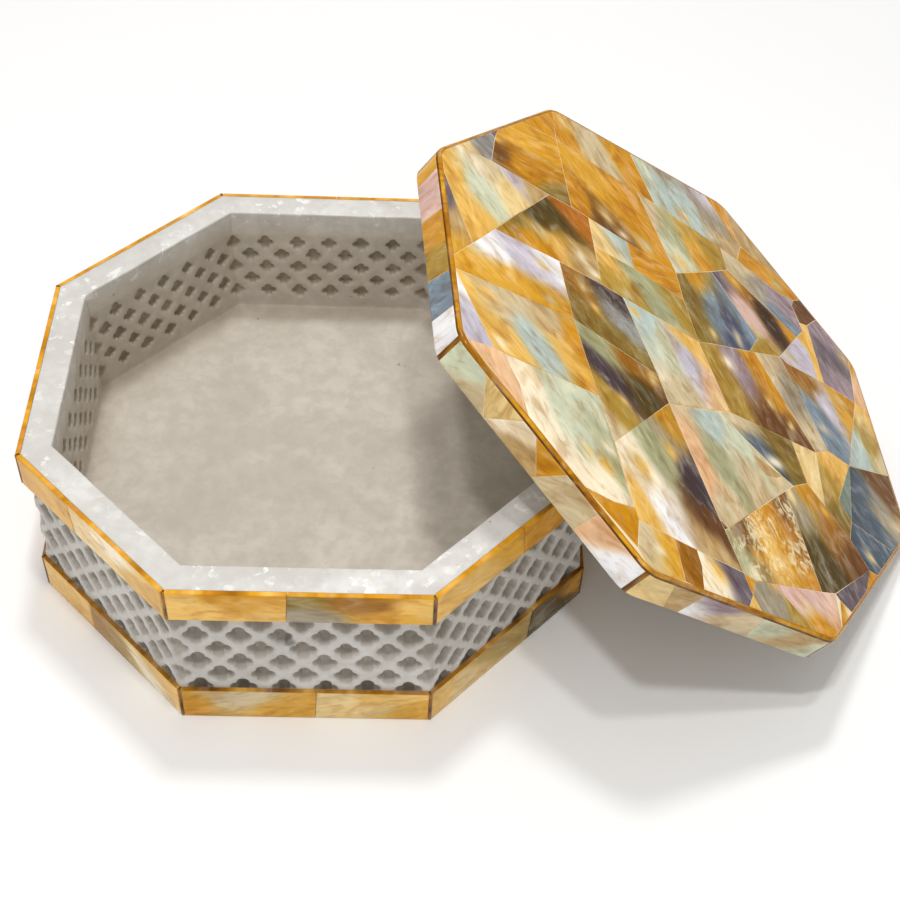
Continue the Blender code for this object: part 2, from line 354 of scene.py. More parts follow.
class Build:
    """Collects vertices (mm), faces and per-vertex attributes, then makes one object."""

    def __init__(self):
        self.v, self.f, self.smooth = [], [], []
        self.attrs = {}
        self.mats = []

    def vert(self, p, **attrs):
        self.v.append(tuple(p))
        for k, val in attrs.items():
            self.attrs.setdefault(k, {})[len(self.v) - 1] = tuple(val)
        return len(self.v) - 1

    def face(self, idx, mat=0):
        self.f.append(tuple(idx))
        self.mats.append(mat)

    def make(self, name, materials, defaults, place=None, sharp=35.0):
        me = bpy.data.meshes.new(name)
        co = [tuple(c * MM for c in p) for p in self.v]
        me.from_pydata(co, [], self.f)
        me.update()
        for k, dflt in defaults.items():
            n = len(dflt)
            a = me.attributes.new(k, "FLOAT_COLOR" if n == 4 else "FLOAT_VECTOR", "POINT")
            arr = np.tile(np.array(dflt, np.float32), (len(self.v), 1))
            for i, val in self.attrs.get(k, {}).items():
                arr[i, :len(val)] = val
            a.data.foreach_set("color" if n == 4 else "vector", arr.ravel())
        for m in materials:
            me.materials.append(m)
        me.polygons.foreach_set("material_index", np.array(self.mats, np.int32))
        bm = bmesh.new()
        bm.from_mesh(me)
        bmesh.ops.recalc_face_normals(bm, faces=bm.faces)
        bm.to_mesh(me)
        bm.free()
        me.polygons.foreach_set("use_smooth", np.ones(len(me.polygons), bool))
        me.set_sharp_from_angle(angle=math.radians(sharp))
        me.update()
        if place is not None:
            me.transform(place)
        ob = link(bpy.data.objects.new(name, me))
        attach(ob, "root")
        return ob


def lid_matrix():
    """From the lid's own frame (underside at z = 0) to the object's frame, in metres."""
    u = (math.cos(LID_TILT), 0.0, -math.sin(LID_TILT))
    n = (math.sin(LID_TILT), 0.0, math.cos(LID_TILT))
    step = LID_STEP_H + LID_GAP
    base = (BOX_AP[0] + step * n[0], 0.0, BOX_H + step * n[2])
    cs, sn = math.cos(LID_SPIN), math.sin(LID_SPIN)
    lowest = min(base[2] + (x * cs - y * sn) * u[2] for x, y in ring(LID_AP))
    su = lowest / math.sin(LID_TILT)
    at = Vector(((base[0] + su * u[0]) * MM, LID_SHIFT_Y * MM, (base[2] + su * u[2]) * MM))
    return Matrix.Translation(at) @ Matrix.Rotation(LID_TILT, 4, "Y") @ Matrix.Rotation(LID_SPIN, 4, "Z")


class Outline:
    """An octagon's outline with rounded corners, by length from corner 7, anticlockwise."""

    def __init__(self, ap, radius, arc=6):
        self.corners = ring(ap)
        pts, nrm, s = [], [], []
        self.start = []
        t = radius * math.tan(math.radians(22.5))
        total = 0.0
        for i in range(8):
            a, b = self.corners[i - 1], self.corners[i]
            length = math.hypot(b[0] - a[0], b[1] - a[1])
            self.start.append(total)
            d = ((b[0] - a[0]) / length, (b[1] - a[1]) / length)
            nx, ny = side_normal(i)
            p0 = (a[0] + d[0] * t, a[1] + d[1] * t)
            p1 = (b[0] - d[0] * t, b[1] - d[1] * t)
            pts += [p0, p1]
            nrm += [(nx, ny)] * 2
            s += [total + t, total + length - t]
            # arc round corner i
            cx, cy = p1[0] - nx * radius, p1[1] - ny * radius
            a0 = math.radians(45.0 * i)
            for k in range(1, arc):
                ang = a0 + math.radians(45.0) * k / arc
                pts.append((cx + math.cos(ang) * radius, cy + math.sin(ang) * radius))
                nrm.append((math.cos(ang), math.sin(ang)))
                s.append(total + length - t + 2 * t * k / arc)
            total += length
        self.total = total
        self.s = np.array([s[-1] - total] + s + [s[0] + total])
        self.p = np.array([pts[-1]] + pts + [pts[0]])
        self.n = np.array([nrm[-1]] + nrm + [nrm[0]])
        self.knots = list(s)
        self.lengths = [math.hypot(self.corners[i][0] - self.corners[i - 1][0], self.corners[i][1] - self.corners[i - 1][1]) for i in range(8)]

    def at(self, s, out=0.0):
        s = s % self.total
        if s > self.s[-1]:
            s -= self.total
        x = np.interp(s, self.s, self.p[:, 0])
        y = np.interp(s, self.s, self.p[:, 1])
        nx = np.interp(s, self.s, self.n[:, 0])
        ny = np.interp(s, self.s, self.n[:, 1])
        m = math.hypot(nx, ny)
        return x + nx / m * out, y + ny / m * out

    def side(self, i, t):
        """Length along the outline at share t of side i."""
        return self.start[i] + self.lengths[i] * t


def vnoise(x, y, z):
    return noise.noise(Vector((x, y, z)))


class Paint:
    """Colours of one shell tile: named tones at places on it, drawn out along its streaks, with painted glints as soft
    pale highlight spots.
    """

    def __init__(self, tones, glints, angle, seed, warp=1.6, stretch=3.2, lace=0.0, soft=3.0):
        self.tones = [(SRGB[k], x, y) for k, x, y in tones]
        self.glints = [(SRGB[k], x, y, r) for k, x, y, r in glints]
        self.a = math.radians(angle)
        self.seed = seed
        self.lace = lace
        self.warp = warp
        self.stretch = stretch
        self.soft = soft
        self.cols = np.array([t[0] for t in self.tones])
        self.xy = np.array([[t[1], t[2]] for t in self.tones])

    def streak(self, x, y):
        c, s = math.cos(self.a), math.sin(self.a)
        u, v = x * c + y * s, -x * s + y * c
        bend = 1.1 * vnoise(x * 0.045, y * 0.045, self.seed + 7.0)
        v += bend * 2.0
        return u, v

    def colour(self, x, y):
        u, v = self.streak(x, y)
        # ragged, streak-shaped borders between tones
        w1 = vnoise(u * 0.09, v * 0.20, self.seed) + 0.22 * vnoise(u * 0.15, v * 0.60, self.seed + 3.1)
        w2 = vnoise(u * 0.10, v * 0.20, self.seed + 11.0)
        c, s = math.cos(self.a), math.sin(self.a)
        du, dv = w1 * self.warp * 2.4, w2 * self.warp * 0.55
        px, py = x + du * c - dv * s, y + du * s + dv * c
        d = self.xy - (px, py)
        along = d[:, 0] * c + d[:, 1] * s
        across = -d[:, 0] * s + d[:, 1] * c
        d2 = (along / self.stretch) ** 2 + across ** 2
        w = 1.0 / (d2 + self.soft) ** 3.2
        col = (self.cols * w[:, None]).sum(0) / w.sum()
        # painted highlights: soft pale glint spots blended over the tones
        for gc, gx, gy, r in self.glints:
            ax = (px - gx) * c + (py - gy) * s
            ay = -(px - gx) * s + (py - gy) * c
            k = math.exp(-((ax / (r * 1.8)) ** 2 + (ay / (r * 1.25)) ** 2)) * 0.92
            if k > 0.01:
                col = col * (1 - k) + gc * k
        # silk at the size of the mesh
        f = 1.0 + 0.06 * vnoise(u * 0.10, v * 0.30, self.seed + 23.0) + 0.02 * vnoise(u * 0.25, v * 0.9, self.seed + 31.0)
        col = np.clip(col * f, 0.0, 1.0)
        lin = np.where(col <= 0.04045, col / 12.92, ((col + 0.055) / 1.055) ** 2.4)
        return (float(lin[0]), float(lin[1]), float(lin[2]), 1.0), (u, v, self.seed)


def offset_poly(poly, d):
    """The polygon (anticlockwise) moved inward by d, mitred."""
    n = len(poly)
    out = []
    for i in range(n):
        p, q, r = poly[i - 1], poly[i], poly[(i + 1) % n]
        e1 = (q[0] - p[0], q[1] - p[1]); l1 = math.hypot(*e1) or 1e-9
        e2 = (r[0] - q[0], r[1] - q[1]); l2 = math.hypot(*e2) or 1e-9
        n1 = (-e1[1] / l1, e1[0] / l1)
        n2 = (-e2[1] / l2, e2[0] / l2)
        k = 1.0 + n1[0] * n2[0] + n1[1] * n2[1]
        k = max(k, 0.35)
        out.append((q[0] + (n1[0] + n2[0]) / k * d, q[1] + (n1[1] + n2[1]) / k * d))
    return out


def signed_area(poly):
    return sum(poly[i][0] * poly[(i + 1) % len(poly)][1] - poly[(i + 1) % len(poly)][0] * poly[i][1] for i in range(len(poly))) / 2.0


def clip_convex(poly, window):
    """Part of poly inside a convex anticlockwise window."""
    out = list(poly)
    m = len(window)
    for i in range(m):
        a, b = window[i], window[(i + 1) % m]
        ex, ey = b[0] - a[0], b[1] - a[1]
        src, out = out, []
        for j in range(len(src)):
            p, q = src[j - 1], src[j]
            sp = ex * (p[1] - a[1]) - ey * (p[0] - a[0])
            sq = ex * (q[1] - a[1]) - ey * (q[0] - a[0])
            if (sp >= 0) != (sq >= 0):
                t = sp / (sp - sq)
                out.append((p[0] + (q[0] - p[0]) * t, p[1] + (q[1] - p[1]) * t))
            if sq >= 0:
                out.append(q)
        if not out:
            return []
    clean = []
    for p in out:
        if not clean or math.hypot(p[0] - clean[-1][0], p[1] - clean[-1][1]) > 0.05:
            clean.append(p)
    if len(clean) > 2 and math.hypot(clean[0][0] - clean[-1][0], clean[0][1] - clean[-1][1]) < 0.05:
        clean.pop()
    return clean if len(clean) > 2 else []


def plate(build, poly, place, paint, res=0.7, gap=0.14, soft=0.16, drop=0.13, depth=0.7, cuts=None, tilt=(0.0, 0.0), lift=0.0, mat=0, edge=None):
    """One shell tile: poly in the surface's own two directions, place(u, v, h) to 3-D, paint for its colours."""
    if signed_area(poly) < 0:
        poly = poly[::-1]
    outer = offset_poly(poly, gap)
    inner = offset_poly(poly, gap + soft)
    if signed_area(inner) < 0.3:
        return
    cx = sum(p[0] for p in poly) / len(poly)
    cy = sum(p[1] for p in poly) / len(poly)
    bm = bmesh.new()
    vs = [bm.verts.new((x, y, 0.0)) for x, y in inner]
    bm.faces.new(vs)
    xs = [p[0] for p in inner]; ys = [p[1] for p in inner]

    def slice_by(axis, values):
        for val in values:
            co = [0.0, 0.0, 0.0]; co[axis] = val
            no = [0.0, 0.0, 0.0]; no[axis] = 1.0
            bmesh.ops.bisect_plane(bm, geom=bm.verts[:] + bm.edges[:] + bm.faces[:], dist=1e-5, plane_co=co, plane_no=no)

    nx = max(1, int((max(xs) - min(xs)) / res)); ny = max(1, int((max(ys) - min(ys)) / res))
    sx = cuts if cuts is not None else [min(xs) + (max(xs) - min(xs)) * (k + 0.5) / nx for k in range(nx)]
    slice_by(0, [c for c in sx if min(xs) < c < max(xs)])
    slice_by(1, [min(ys) + (max(ys) - min(ys)) * (k + 0.5) / ny for k in range(ny)])
    bm.verts.ensure_lookup_table()
    bm.verts.index_update()
    # walk the boundary
    nxt = {}
    for e in bm.edges:
        if len(e.link_faces) == 1:
            f = e.link_faces[0]
            loops = [l for l in f.loops if l.edge == e]
            l = loops[0]
            nxt[l.vert.index] = l.link_loop_next.vert.index
    base = {}

    def h_at(x, y):
        return lift + tilt[0] * (x - cx) + tilt[1] * (y - cy)

    for v in bm.verts:
        x, y = v.co.x, v.co.y
        col, suv = paint.colour(x, y)
        base[v.index] = build.vert(place(x, y, h_at(x, y)), tint=col, suv=suv, lace=(paint.lace, 0.0, 0.0))
    for f in bm.faces:
        build.face([base[v.index] for v in f.verts], mat)
    # soft edge: move boundary points outward to the outer polygon
    first = next(iter(nxt))
    loop = [first]
    while nxt[loop[-1]] != first and len(loop) < 100000:
        loop.append(nxt[loop[-1]])
    co = [(bm.verts[i].co.x, bm.verts[i].co.y) for i in loop]
    bm.free()
    m = len(co)
    mid, low = [], []
    for i in range(m):
        p, q, r = co[i - 1], co[i], co[(i + 1) % m]
        e1 = (q[0] - p[0], q[1] - p[1]); l1 = math.hypot(*e1) or 1e-9
        e2 = (r[0] - q[0], r[1] - q[1]); l2 = math.hypot(*e2) or 1e-9
        n1 = (e1[1] / l1, -e1[0] / l1); n2 = (e2[1] / l2, -e2[0] / l2)
        k = max(1.0 + n1[0] * n2[0] + n1[1] * n2[1], 0.35)
        ox, oy = q[0] + (n1[0] + n2[0]) / k * soft, q[1] + (n1[1] + n2[1]) / k * soft
        col, suv = paint.colour(ox, oy)
        if edge is not None:
            col = edge(ox, oy, col)
        hh = h_at(ox, oy)
        mid.append(build.vert(place(ox, oy, hh - drop), tint=col, suv=suv))
        low.append(build.vert(place(ox, oy, hh - depth), tint=col, suv=suv))
    for i in range(m):
        j = (i + 1) % m
        a, b = base[loop[i]], base[loop[j]]
        build.face((b, a, mid[i], mid[j]), mat)
        build.face((mid[j], mid[i], low[i], low[j]), mat)


# =====================================================================================
# the marble box
# =====================================================================================

def recess(z):
    """The marble stands back from the shell bands a little more at the top than at the foot."""
    t = min(max((z - FOOT_BAND_Z) / (TOP_BAND_Z - FOOT_BAND_Z), 0.0), 1.0)
    return 1.15 + 0.75 * t


def wall_xy(k, depth, count=8 * HALF_PITCHES):
    """k half pitches round from the right-hand side's first corner, this far in from the shell's face."""
    outline = ring(inset(BOX_AP, depth))
    side, step = divmod(round(k, 5) % count, HALF_PITCHES)
    a, b = outline[int(side) - 1], outline[int(side)]
    t = step / HALF_PITCHES
    return a[0] + (b[0] - a[0]) * t, a[1] + (b[1] - a[1]) * t


def lobed(theta, c, rho, lobes):
    """Radius of four overlapping circles; lobes are their sizes."""
    q = theta / (math.pi / 2)
    near = int(round(q)) % 4
    phi = theta - round(q) * math.pi / 2
    cc, rr = c * lobes[near], rho * lobes[near]
    return cc * math.cos(phi) + math.sqrt(max(rr * rr - (cc * math.sin(phi)) ** 2, 0.01))


def build_marble():
    rng = random.Random(11)
    b = Build()
    known = {}
    count = 8 * HALF_PITCHES
    half = 58.0 / HALF_PITCHES                     # mm of a half pitch, near enough for shaping a pocket

    def outer(k, z, extra=0.0, zone=(0.0, 0.0, 0.0), share=True):
        key = (round(round(k, 3) % count, 3), round(z, 3), round(extra, 3))
        if share and key in known:
            return known[key]
        x, y = wall_xy(k, recess(z) + extra)
        i = b.vert((x, y, z), zone=zone)
        if share:
            known[key] = i
        return i

    def inward(k, z, depth, corner, zone):
        """A point sunk straight in from the wall, or along the mitre where the cut wraps a corner."""
        if corner:
            x, y = wall_xy(k, recess(z) + depth)
        else:
            x, y = wall_xy(k, recess(z))
            side = int((round(k, 5) % count) // HALF_PITCHES)
            nx, ny = side_normal(side)
            x, y = x - nx * depth, y - ny * depth
        return b.vert((x, y, z), zone=zone)

    N = 32
    unit = []
    for q in range(N):
        th = 2 * math.pi * q / N
        c, s = math.cos(th), math.sin(th)
        m = abs(c) + abs(s)
        unit.append((th, c / m, s / m))
    for j in range(ROWS):
        z0 = ROW_Z0 + ROW_STEP * j
        for k in range((j + 1) % 2, count, 2):
            corner = k % HALF_PITCHES == 0
            near_corner = (k % HALF_PITCHES) in (1, HALF_PITCHES - 1)
            edge = [outer(k + a, z0 + c * ROW_STEP) for th, a, c in unit]
            g = 1.0 + rng.uniform(-0.05, 0.05)
            lobes = [rng.uniform(0.93, 1.07) for q in range(4)]
            turn = math.radians(rng.uniform(-4.0, 4.0))
            du, dz = rng.uniform(-0.12, 0.12), rng.uniform(-0.12, 0.12)
            deep = (1.55 if corner else 2.9) * rng.uniform(0.92, 1.08)
            lean = rng.uniform(0.25, 0.55)         # the sill slopes down and out, the head is cut back
            rings = []
            for scale, d, pocket_shade in ((1.13, 0.0, 0.0), (1.03, 0.10, 0.08), (0.97, 0.42, 0.30), (0.86, 0.66 * deep, 0.75), (0.68, 0.95 * deep, 1.0)):
                pts = []
                for th, a, c in unit:
                    r = lobed((th + turn) % (2 * math.pi), 1.62 * g, 1.62 * g, lobes) * scale
                    u, v = r * math.cos(th) * 0.92, r * math.sin(th) * 1.06
                    sink = d
                    if d > 0.3 and v < 0:
                        sink = d * (1.0 + lean * v / 3.4 * 0.7)
                    if d > 0.3:
                        v += 0.22 * d / deep
                    # painted shade: pocket_shade darkens the pocket towards its back, more under its head than on its
                    # sill, with a little painted warm shade
                    pts.append(inward(k + (u + du) / half, z0 + v + dz, sink, corner, (pocket_shade * (0.85 if v > 0 else 0.6), 0.0, 0.15)))
                rings.append(pts)
            seq = [edge] + rings
            for r0, r1 in zip(seq[:-1], seq[1:]):
                for q in range(N):
                    p = (q + 1) % N
                    b.face((r0[q], r0[p], r1[p], r1[q]))
            mid = inward(k + du / half, z0 + dz + 0.2, deep * 0.98, corner, (1.0, 0.0, 0.15))
            for q in range(N):
                b.face((rings[-1][q], rings[-1][(q + 1) % N], mid))
    # plain wall above the top row and below the lowest
    z_top = ROW_Z0 + ROW_STEP * ROWS
    arc = [(a, c) for th, a, c in unit[:N // 4 + 1]]
    for k in range(0, count, 2):
        down = [outer(k + a, z_top - ROW_STEP * (1 - c)) for a, c in reversed(arc)]
        up = [outer(k + 2 - a, z_top - ROW_STEP * (1 - c)) for a, c in arc[1:]]
        b.face(down + up)
        b.face((outer(k, z_top), outer(k + 2, z_top), outer(k + 2, BOX_H - 0.25, -0.62), outer(k, BOX_H - 0.25, -0.62)))
    # below the lowest row, whose cells sit at odd k and end one step down
    for k in range(0, count, 2):
        up = [outer(k - 1 + a, ROW_Z0 - ROW_STEP * c) for a, c in reversed(arc)]
        b.face(up + [outer(k, 0.25), outer(k - 1, 0.25)])
        down = [outer(k + 1 - a, ROW_Z0 - ROW_STEP * c) for a, c in arc]
        b.face(down + [outer(k + 1, 0.25), outer(k, 0.25)])
    # underside with a softened edge
    under = []
    for k in range(0, count):
        under.append(outer(k, 0.0, 0.25))
    for k in range(0, count):
        b.face((outer(k, 0.25), outer((k + 1) % count, 0.25), under[(k + 1) % count], under[k]))
    b.face(list(reversed(under)))

    # ---- rim: flat top with rounded edges ----
    rim_out = recess(BOX_H) - 0.62
    prof = [(rim_out, BOX_H - 0.25), (rim_out + 0.06, BOX_H - 0.08), (rim_out + 0.22, BOX_H)]
    r_in = RIM_W
    for q in range(0, 5):
        a = math.pi / 2 * q / 4
        prof.append((r_in - 0.55 + 0.55 * math.sin(a), BOX_H - 0.55 + 0.55 * math.cos(a)))
    rim_rings = []
    sub = 24                                        # points along each side, so that the edge can wander a little
    for pi, (d, z) in enumerate(prof):
        pts = []
        if pi == 0:
            for k in range(0, count, 2):
                pts.append(outer(k, BOX_H - 0.25, -0.62))
            rim_rings.append((count // 2, pts))
            continue
        for k in range(8 * sub):
            wob = 0.0
            zz = z
            if pi >= 3:
                side, st = divmod(k, sub)
                near = min(st, sub - st) / sub
                wob = 0.10 * vnoise(k * 0.31, pi * 0.2, 3.0) + 0.10 * vnoise(k * 1.3, pi * 0.4, 8.0)
                wob *= min(1.0, near * 6)
            x, y = wall_xy(k * HALF_PITCHES / sub, d + wob)
            pts.append(b.vert((x, y, zz), zone=(0.0, 1.0, 0.0)))
        rim_rings.append((8 * sub, pts))
    # first ring has fewer points: join by fans
    n0, r0 = rim_rings[0]
    n1, r1 = rim_rings[1]
    per = n1 // n0
    for i in range(n0):
        a, c = r0[i], r0[(i + 1) % n0]
        seg = [r1[(i * per + t) % n1] for t in range(per + 1)]
        b.face([a, c] + list(reversed(seg)))
    for (na, ra), (nb, rb) in zip(rim_rings[1:-1], rim_rings[2:]):
        for i in range(na):
            j = (i + 1) % na
            b.face((ra[i], ra[j], rb[j], rb[i]))

    # ---- inside wall: plain band under the rim, faint step, shallow lattice, floor ----
    IN_ROWS, IN_STEP, IN_Z0, STEP_Z = 5, 4.55, 22.5, 43.8
    inner_len = 52.0
    ihalf = inner_len / HALF_PITCHES
    IN_D = RIM_W + 0.14                             # the lattice field stands a hair proud of the band above it
    iknown = {}

    # inside points carry painted warm shade (zone z) and, in the cuts, painted cut shade
    def inner(k, z, zone=(0.05, 0.0, 0.5), d=IN_D):
        key = (round(round(k, 3) % count, 3), round(z, 3), round(d, 3))
        if key in iknown:
            return iknown[key]
        x, y = wall_xy(k, d)
        i = b.vert((x, y, z), zone=zone)
        iknown[key] = i
        return i

    M = 24
    clip = (STEP_Z - (IN_Z0 + IN_STEP * (IN_ROWS - 1))) / IN_STEP
    unit2 = []
    for q in range(M):
        th = 2 * math.pi * q / M
        c, s = math.cos(th), math.sin(th)
        m = abs(c) + abs(s)
        unit2.append((th, c / m, s / m))
    top_line = set()
    for j in range(IN_ROWS):
        z0 = IN_Z0 + IN_STEP * j
        for k in range(j % 2, count, 2):
            corner = k % HALF_PITCHES == 0
            edge = []
            for th, a, c in unit2:
                if j == IN_ROWS - 1 and c > clip:
                    f = clip / c
                    a, c = a * f, clip
                edge.append(inner(k + a, z0 + c * IN_STEP))
                if j == IN_ROWS - 1 and abs(c - clip) < 1e-6:
                    top_line.add(round(round(k + a, 3) % count, 3))
            g = rng.uniform(0.94, 1.06)
            lobes = [rng.uniform(0.9, 1.1) for q in range(4)]
            turn = math.radians(rng.uniform(-6.0, 6.0))
            deep = (0.7 if corner else 1.25) * rng.uniform(0.85, 1.1)
            side = int((k % count) // HALF_PITCHES)
            nx, ny = side_normal(side)
            rings = []
            for scale, d, pocket_shade in ((1.15, 0.0, 0.05), (1.0, 0.12, 0.25), (0.86, 0.62 * deep, 0.8), (0.6, deep, 1.0)):
                pts = []
                for th, a, c in unit2:
                    r = lobed((th + turn) % (2 * math.pi), 1.12 * g, 1.12 * g, lobes) * scale
                    u, v = r * math.cos(th), r * math.sin(th) * 1.05
                    kk, zz = k + u / ihalf, z0 + v
                    if corner:
                        x, y = wall_xy(kk, IN_D - d)
                    else:
                        x, y = wall_xy(kk, IN_D)
                    # cut into the wall, away from the middle of the box
                    if corner:
                        x, y = wall_xy(kk, IN_D - d)
                    else:
                        x, y = x + nx * d, y + ny * d
                    # painted shade: pocket_shade darkens each inner pocket towards its back
                    pts.append(b.vert((x, y, zz), zone=(pocket_shade * 0.85, 0.0, 0.5)))
                rings.append(pts)
            seq = [edge] + rings
            for r0, r1 in zip(seq[:-1], seq[1:]):
                for q in range(M):
                    p = (q + 1) % M
                    if r0[q] == r0[p]:
                        continue
                    b.face((r0[p], r0[q], r1[q], r1[p]))
            x, y = wall_xy(k, IN_D - deep if corner else IN_D)
            if not corner:
                x, y = x + nx * deep, y + ny * deep
            mid = b.vert((x, y, z0), zone=(0.85, 0.0, 0.5))
            for q in range(M):
                b.face((rings[-1][(q + 1) % M], rings[-1][q], mid))
    arc2 = [(a, c) for th, a, c in unit2[:M // 4 + 1]]      # (1,0) ... (0,1)
    jt = IN_ROWS - 1
    zt = IN_Z0 + IN_STEP * jt
    par = jt % 2
    for k in range(par, count, 2):
        # between the tops of neighbouring cells k and k+2, down to (k+1, zt)
        down = []
        for a, c in reversed(arc2):                         # from the top of cell k to its right corner
            if c > clip + 1e-9:
                continue
            down.append((k + a, zt + c * IN_STEP))
        fa = clip                                           # where the edge meets the step line
        up = []
        for a, c in arc2:
            if c > clip + 1e-9:
                continue
            up.append((k + 2 - a, zt + c * IN_STEP))
        # points on the step line made by clipped rays of both cells
        line_l = sorted({round(k + a * (clip / c), 3) for a, c in arc2 if c > clip}, reverse=False)
        line_r = sorted({round(k + 2 - a * (clip / c), 3) for a, c in arc2 if c > clip})
        idx = []
        last_l = max(line_l)
        first_r = min(line_r)
        idx.append(inner(last_l, zt + clip * IN_STEP))
        idx += [inner(*p) for p in down]
        idx += [inner(*p) for p in up if inner(*p) not in idx]
        idx.append(inner(first_r, zt + clip * IN_STEP))
        idx = [i for n, i in enumerate(idx) if i not in idx[:n]]
        b.face(list(reversed(idx)))
    line = sorted(top_line)
    band = []
    for kk in line:
        band.append((inner(kk, zt + clip * IN_STEP), inner(kk, zt + clip * IN_STEP + 0.60, (0.0, 0.4, 0.5), RIM_W)))
    for n in range(len(band)):
        a, c = band[n], band[(n + 1) % len(band)]
        b.face((a[0], c[0], c[1], a[1]))
    # band face: a strip of triangles to a side, between the step and the rim's inner edge
    nr, rr = rim_rings[-1]
    for side in range(8):
        lo_k, hi_k = side * HALF_PITCHES, (side + 1) * HALF_PITCHES
        lower = [band[n][1] for n, kk in enumerate(line) if lo_k - 1e-6 <= kk <= hi_k + 1e-6]
        if side == 7:
            lower = lower + [band[0][1]]
        upper = [rr[(side * sub + t) % nr] for t in range(sub + 1)]
        # rows of quads would bend; a strip of triangles keeps it plain
        i = jx = 0
        while i < len(lower) - 1 or jx < len(upper) - 1:
            ti = (i + 1) / (len(lower) - 1) if i < len(lower) - 1 else 9
            tj = (jx + 1) / (len(upper) - 1) if jx < len(upper) - 1 else 9
            if ti <= tj:
                b.face((lower[i], lower[i + 1], upper[jx]))
                i += 1
            else:
                b.face((lower[i], upper[jx + 1], upper[jx]))
                jx += 1
    # under the lattice: down to a small cove and the floor
    zl = IN_Z0 - IN_STEP
    for k in range(0, count, 2):
        # cells of row 0 are at even k: valleys at odd k on z = IN_Z0, points at even k on z = zl
        a_right = [inner(k + a, IN_Z0 - c * IN_STEP) for a, c in reversed(arc2)]           # (k, zl) to (k+1, Z0)
        a_left = [inner(k + 2 - a, IN_Z0 - c * IN_STEP) for a, c in arc2]                   # (k+1, Z0) to (k+2, zl)
        poly = a_right + [i for i in a_left if i not in a_right]
        base = [inner(k + 2, FLOOR_Z + 0.9), inner(k + 1, FLOOR_Z + 0.9), inner(k, FLOOR_Z + 0.9)]
        b.face(poly + base)
    cove = [[inner(k, FLOOR_Z + 0.9) for k in range(count)]]
    for q in range(1, 4):
        a = math.pi / 2 * q / 3
        d = IN_D + 0.9 * (1 - math.cos(a))
        z = FLOOR_Z + 0.9 * (1 - math.sin(a))
        # painted shade: the cove where the wall meets the floor is painted darker
        cove.append([inner(k, z, (0.35, 0.1, 0.6), d) for k in range(count)])
    for q in range(3):
        for k in range(count):
            j = (k + 1) % count
            b.face((cove[q][j], cove[q][k], cove[q + 1][k], cove[q + 1][j]))
    # floor in rings, with a slight wave in height; it carries the painted warm shade of the inside
    prev = cove[-1]
    for d in (16.0, 30.0, 48.0):
        cur = []
        for k in range(count):
            x, y = wall_xy(k, d)
            cur.append(b.vert((x, y, FLOOR_Z + 0.05 * vnoise(x * 0.05, y * 0.05, 2.0)), zone=(0.06, 0.30, 0.50)))
        for k in range(count):
            j = (k + 1) % count
            b.face((prev[j], prev[k], cur[k], cur[j]))
        prev = cur
    c = b.vert((0, 0, FLOOR_Z), zone=(0.06, 0.30, 0.50))
    for k in range(count):
        b.face((prev[(k + 1) % count], prev[k], c))
    ob = b.make("marble_box", [MARBLE], {"zone": (0.0, 0.0, 0.0)}, sharp=38.0)
    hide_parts("box_body")
    return ob


# =====================================================================================
# the shell bands
# =====================================================================================

# colours of the strips that show in front, as tones at (share of the strip's length, share of its height)
BAND_PAINT = {
    ("rim", 6, 0): "ho 0.18,0.38 0.95,0.2, am 0.63,0.73 0.85,0.88",
    ("rim", 6, 1): "ol 0.03,0.85, gb 0.12,0.3, da 0.52,0.76, go 0.74,0.2, ho 0.9,0.55",
    ("rim", 5, 0): "am 0.05,0.5, go 0.3,0.4 0.75,0.7",
    ("rim", 5, 1): "pg 0.05,0.6 0.3,0.3, cr 0.45,0.7, go 0.75,0.4",
    ("rim", 7, 0): "ho 0.05,0.5 0.5,0.6, go 0.8,0.6",
    ("rim", 7, 1): "am 0.1,0.6 0.6,0.5, br 0.9,0.4",
    ("foot", 6, 0): "am 0.095,0.4, be 0.39,0.68, go 0.85,0.45",
    ("foot", 6, 1): "pg 0.2,0.65 0.5,0.4, ho 0.6,0.8, go 0.9,0.3",
    ("foot", 5, 0): "ho 0.1,0.5 0.5,0.7, go 0.8,0.3",
    ("foot", 5, 1): "da 0.13,0.57, og 0.24,0.5, cr 0.7,0.4, ho 0.85,0.6",
    ("foot", 7, 0): "ho 0.1,0.5, pg 0.3,0.4, og 0.75,0.6",
    ("foot", 7, 1): "do 0.1,0.6 0.6,0.4, am 0.85,0.5",
}
MIXES = (
    "am 0.1,0.5 0.6,0.7, go 0.3,0.3 0.8,0.5, ho 0.45,0.6, da 0.2,0.9 0.7,0.1, cr 0.9,0.8",
    "pg 0.1,0.4 0.7,0.3, cr 0.35,0.6, be 0.55,0.7, go 0.85,0.6, ta 0.2,0.8, am 0.95,0.2",
    "og 0.1,0.6, am 0.4,0.3, ol 0.6,0.7, go 0.25,0.2 0.8,0.4, br 0.5,0.9, ho 0.9,0.8",
    "ho 0.15,0.4, pe 0.4,0.6, gy 0.5,0.3, pg 0.65,0.6, go 0.85,0.4, am 0.05,0.8 0.95,0.8",
    "da 0.1,0.5, am 0.3,0.7 0.75,0.3, go 0.5,0.4, ta 0.65,0.8, br 0.9,0.6, og 0.4,0.1",
)


def spread(text, u0, u1, v0, v1):
    """Tones given at shares of a tile's length and height, as places on it."""
    out = []
    for part in text.split(", "):
        words = part.split(" ")
        for w in words[1:]:
            a, c = w.split(",")
            out.append((words[0], u0 + (u1 - u0) * float(a), v0 + (v1 - v0) * float(c)))
    return out


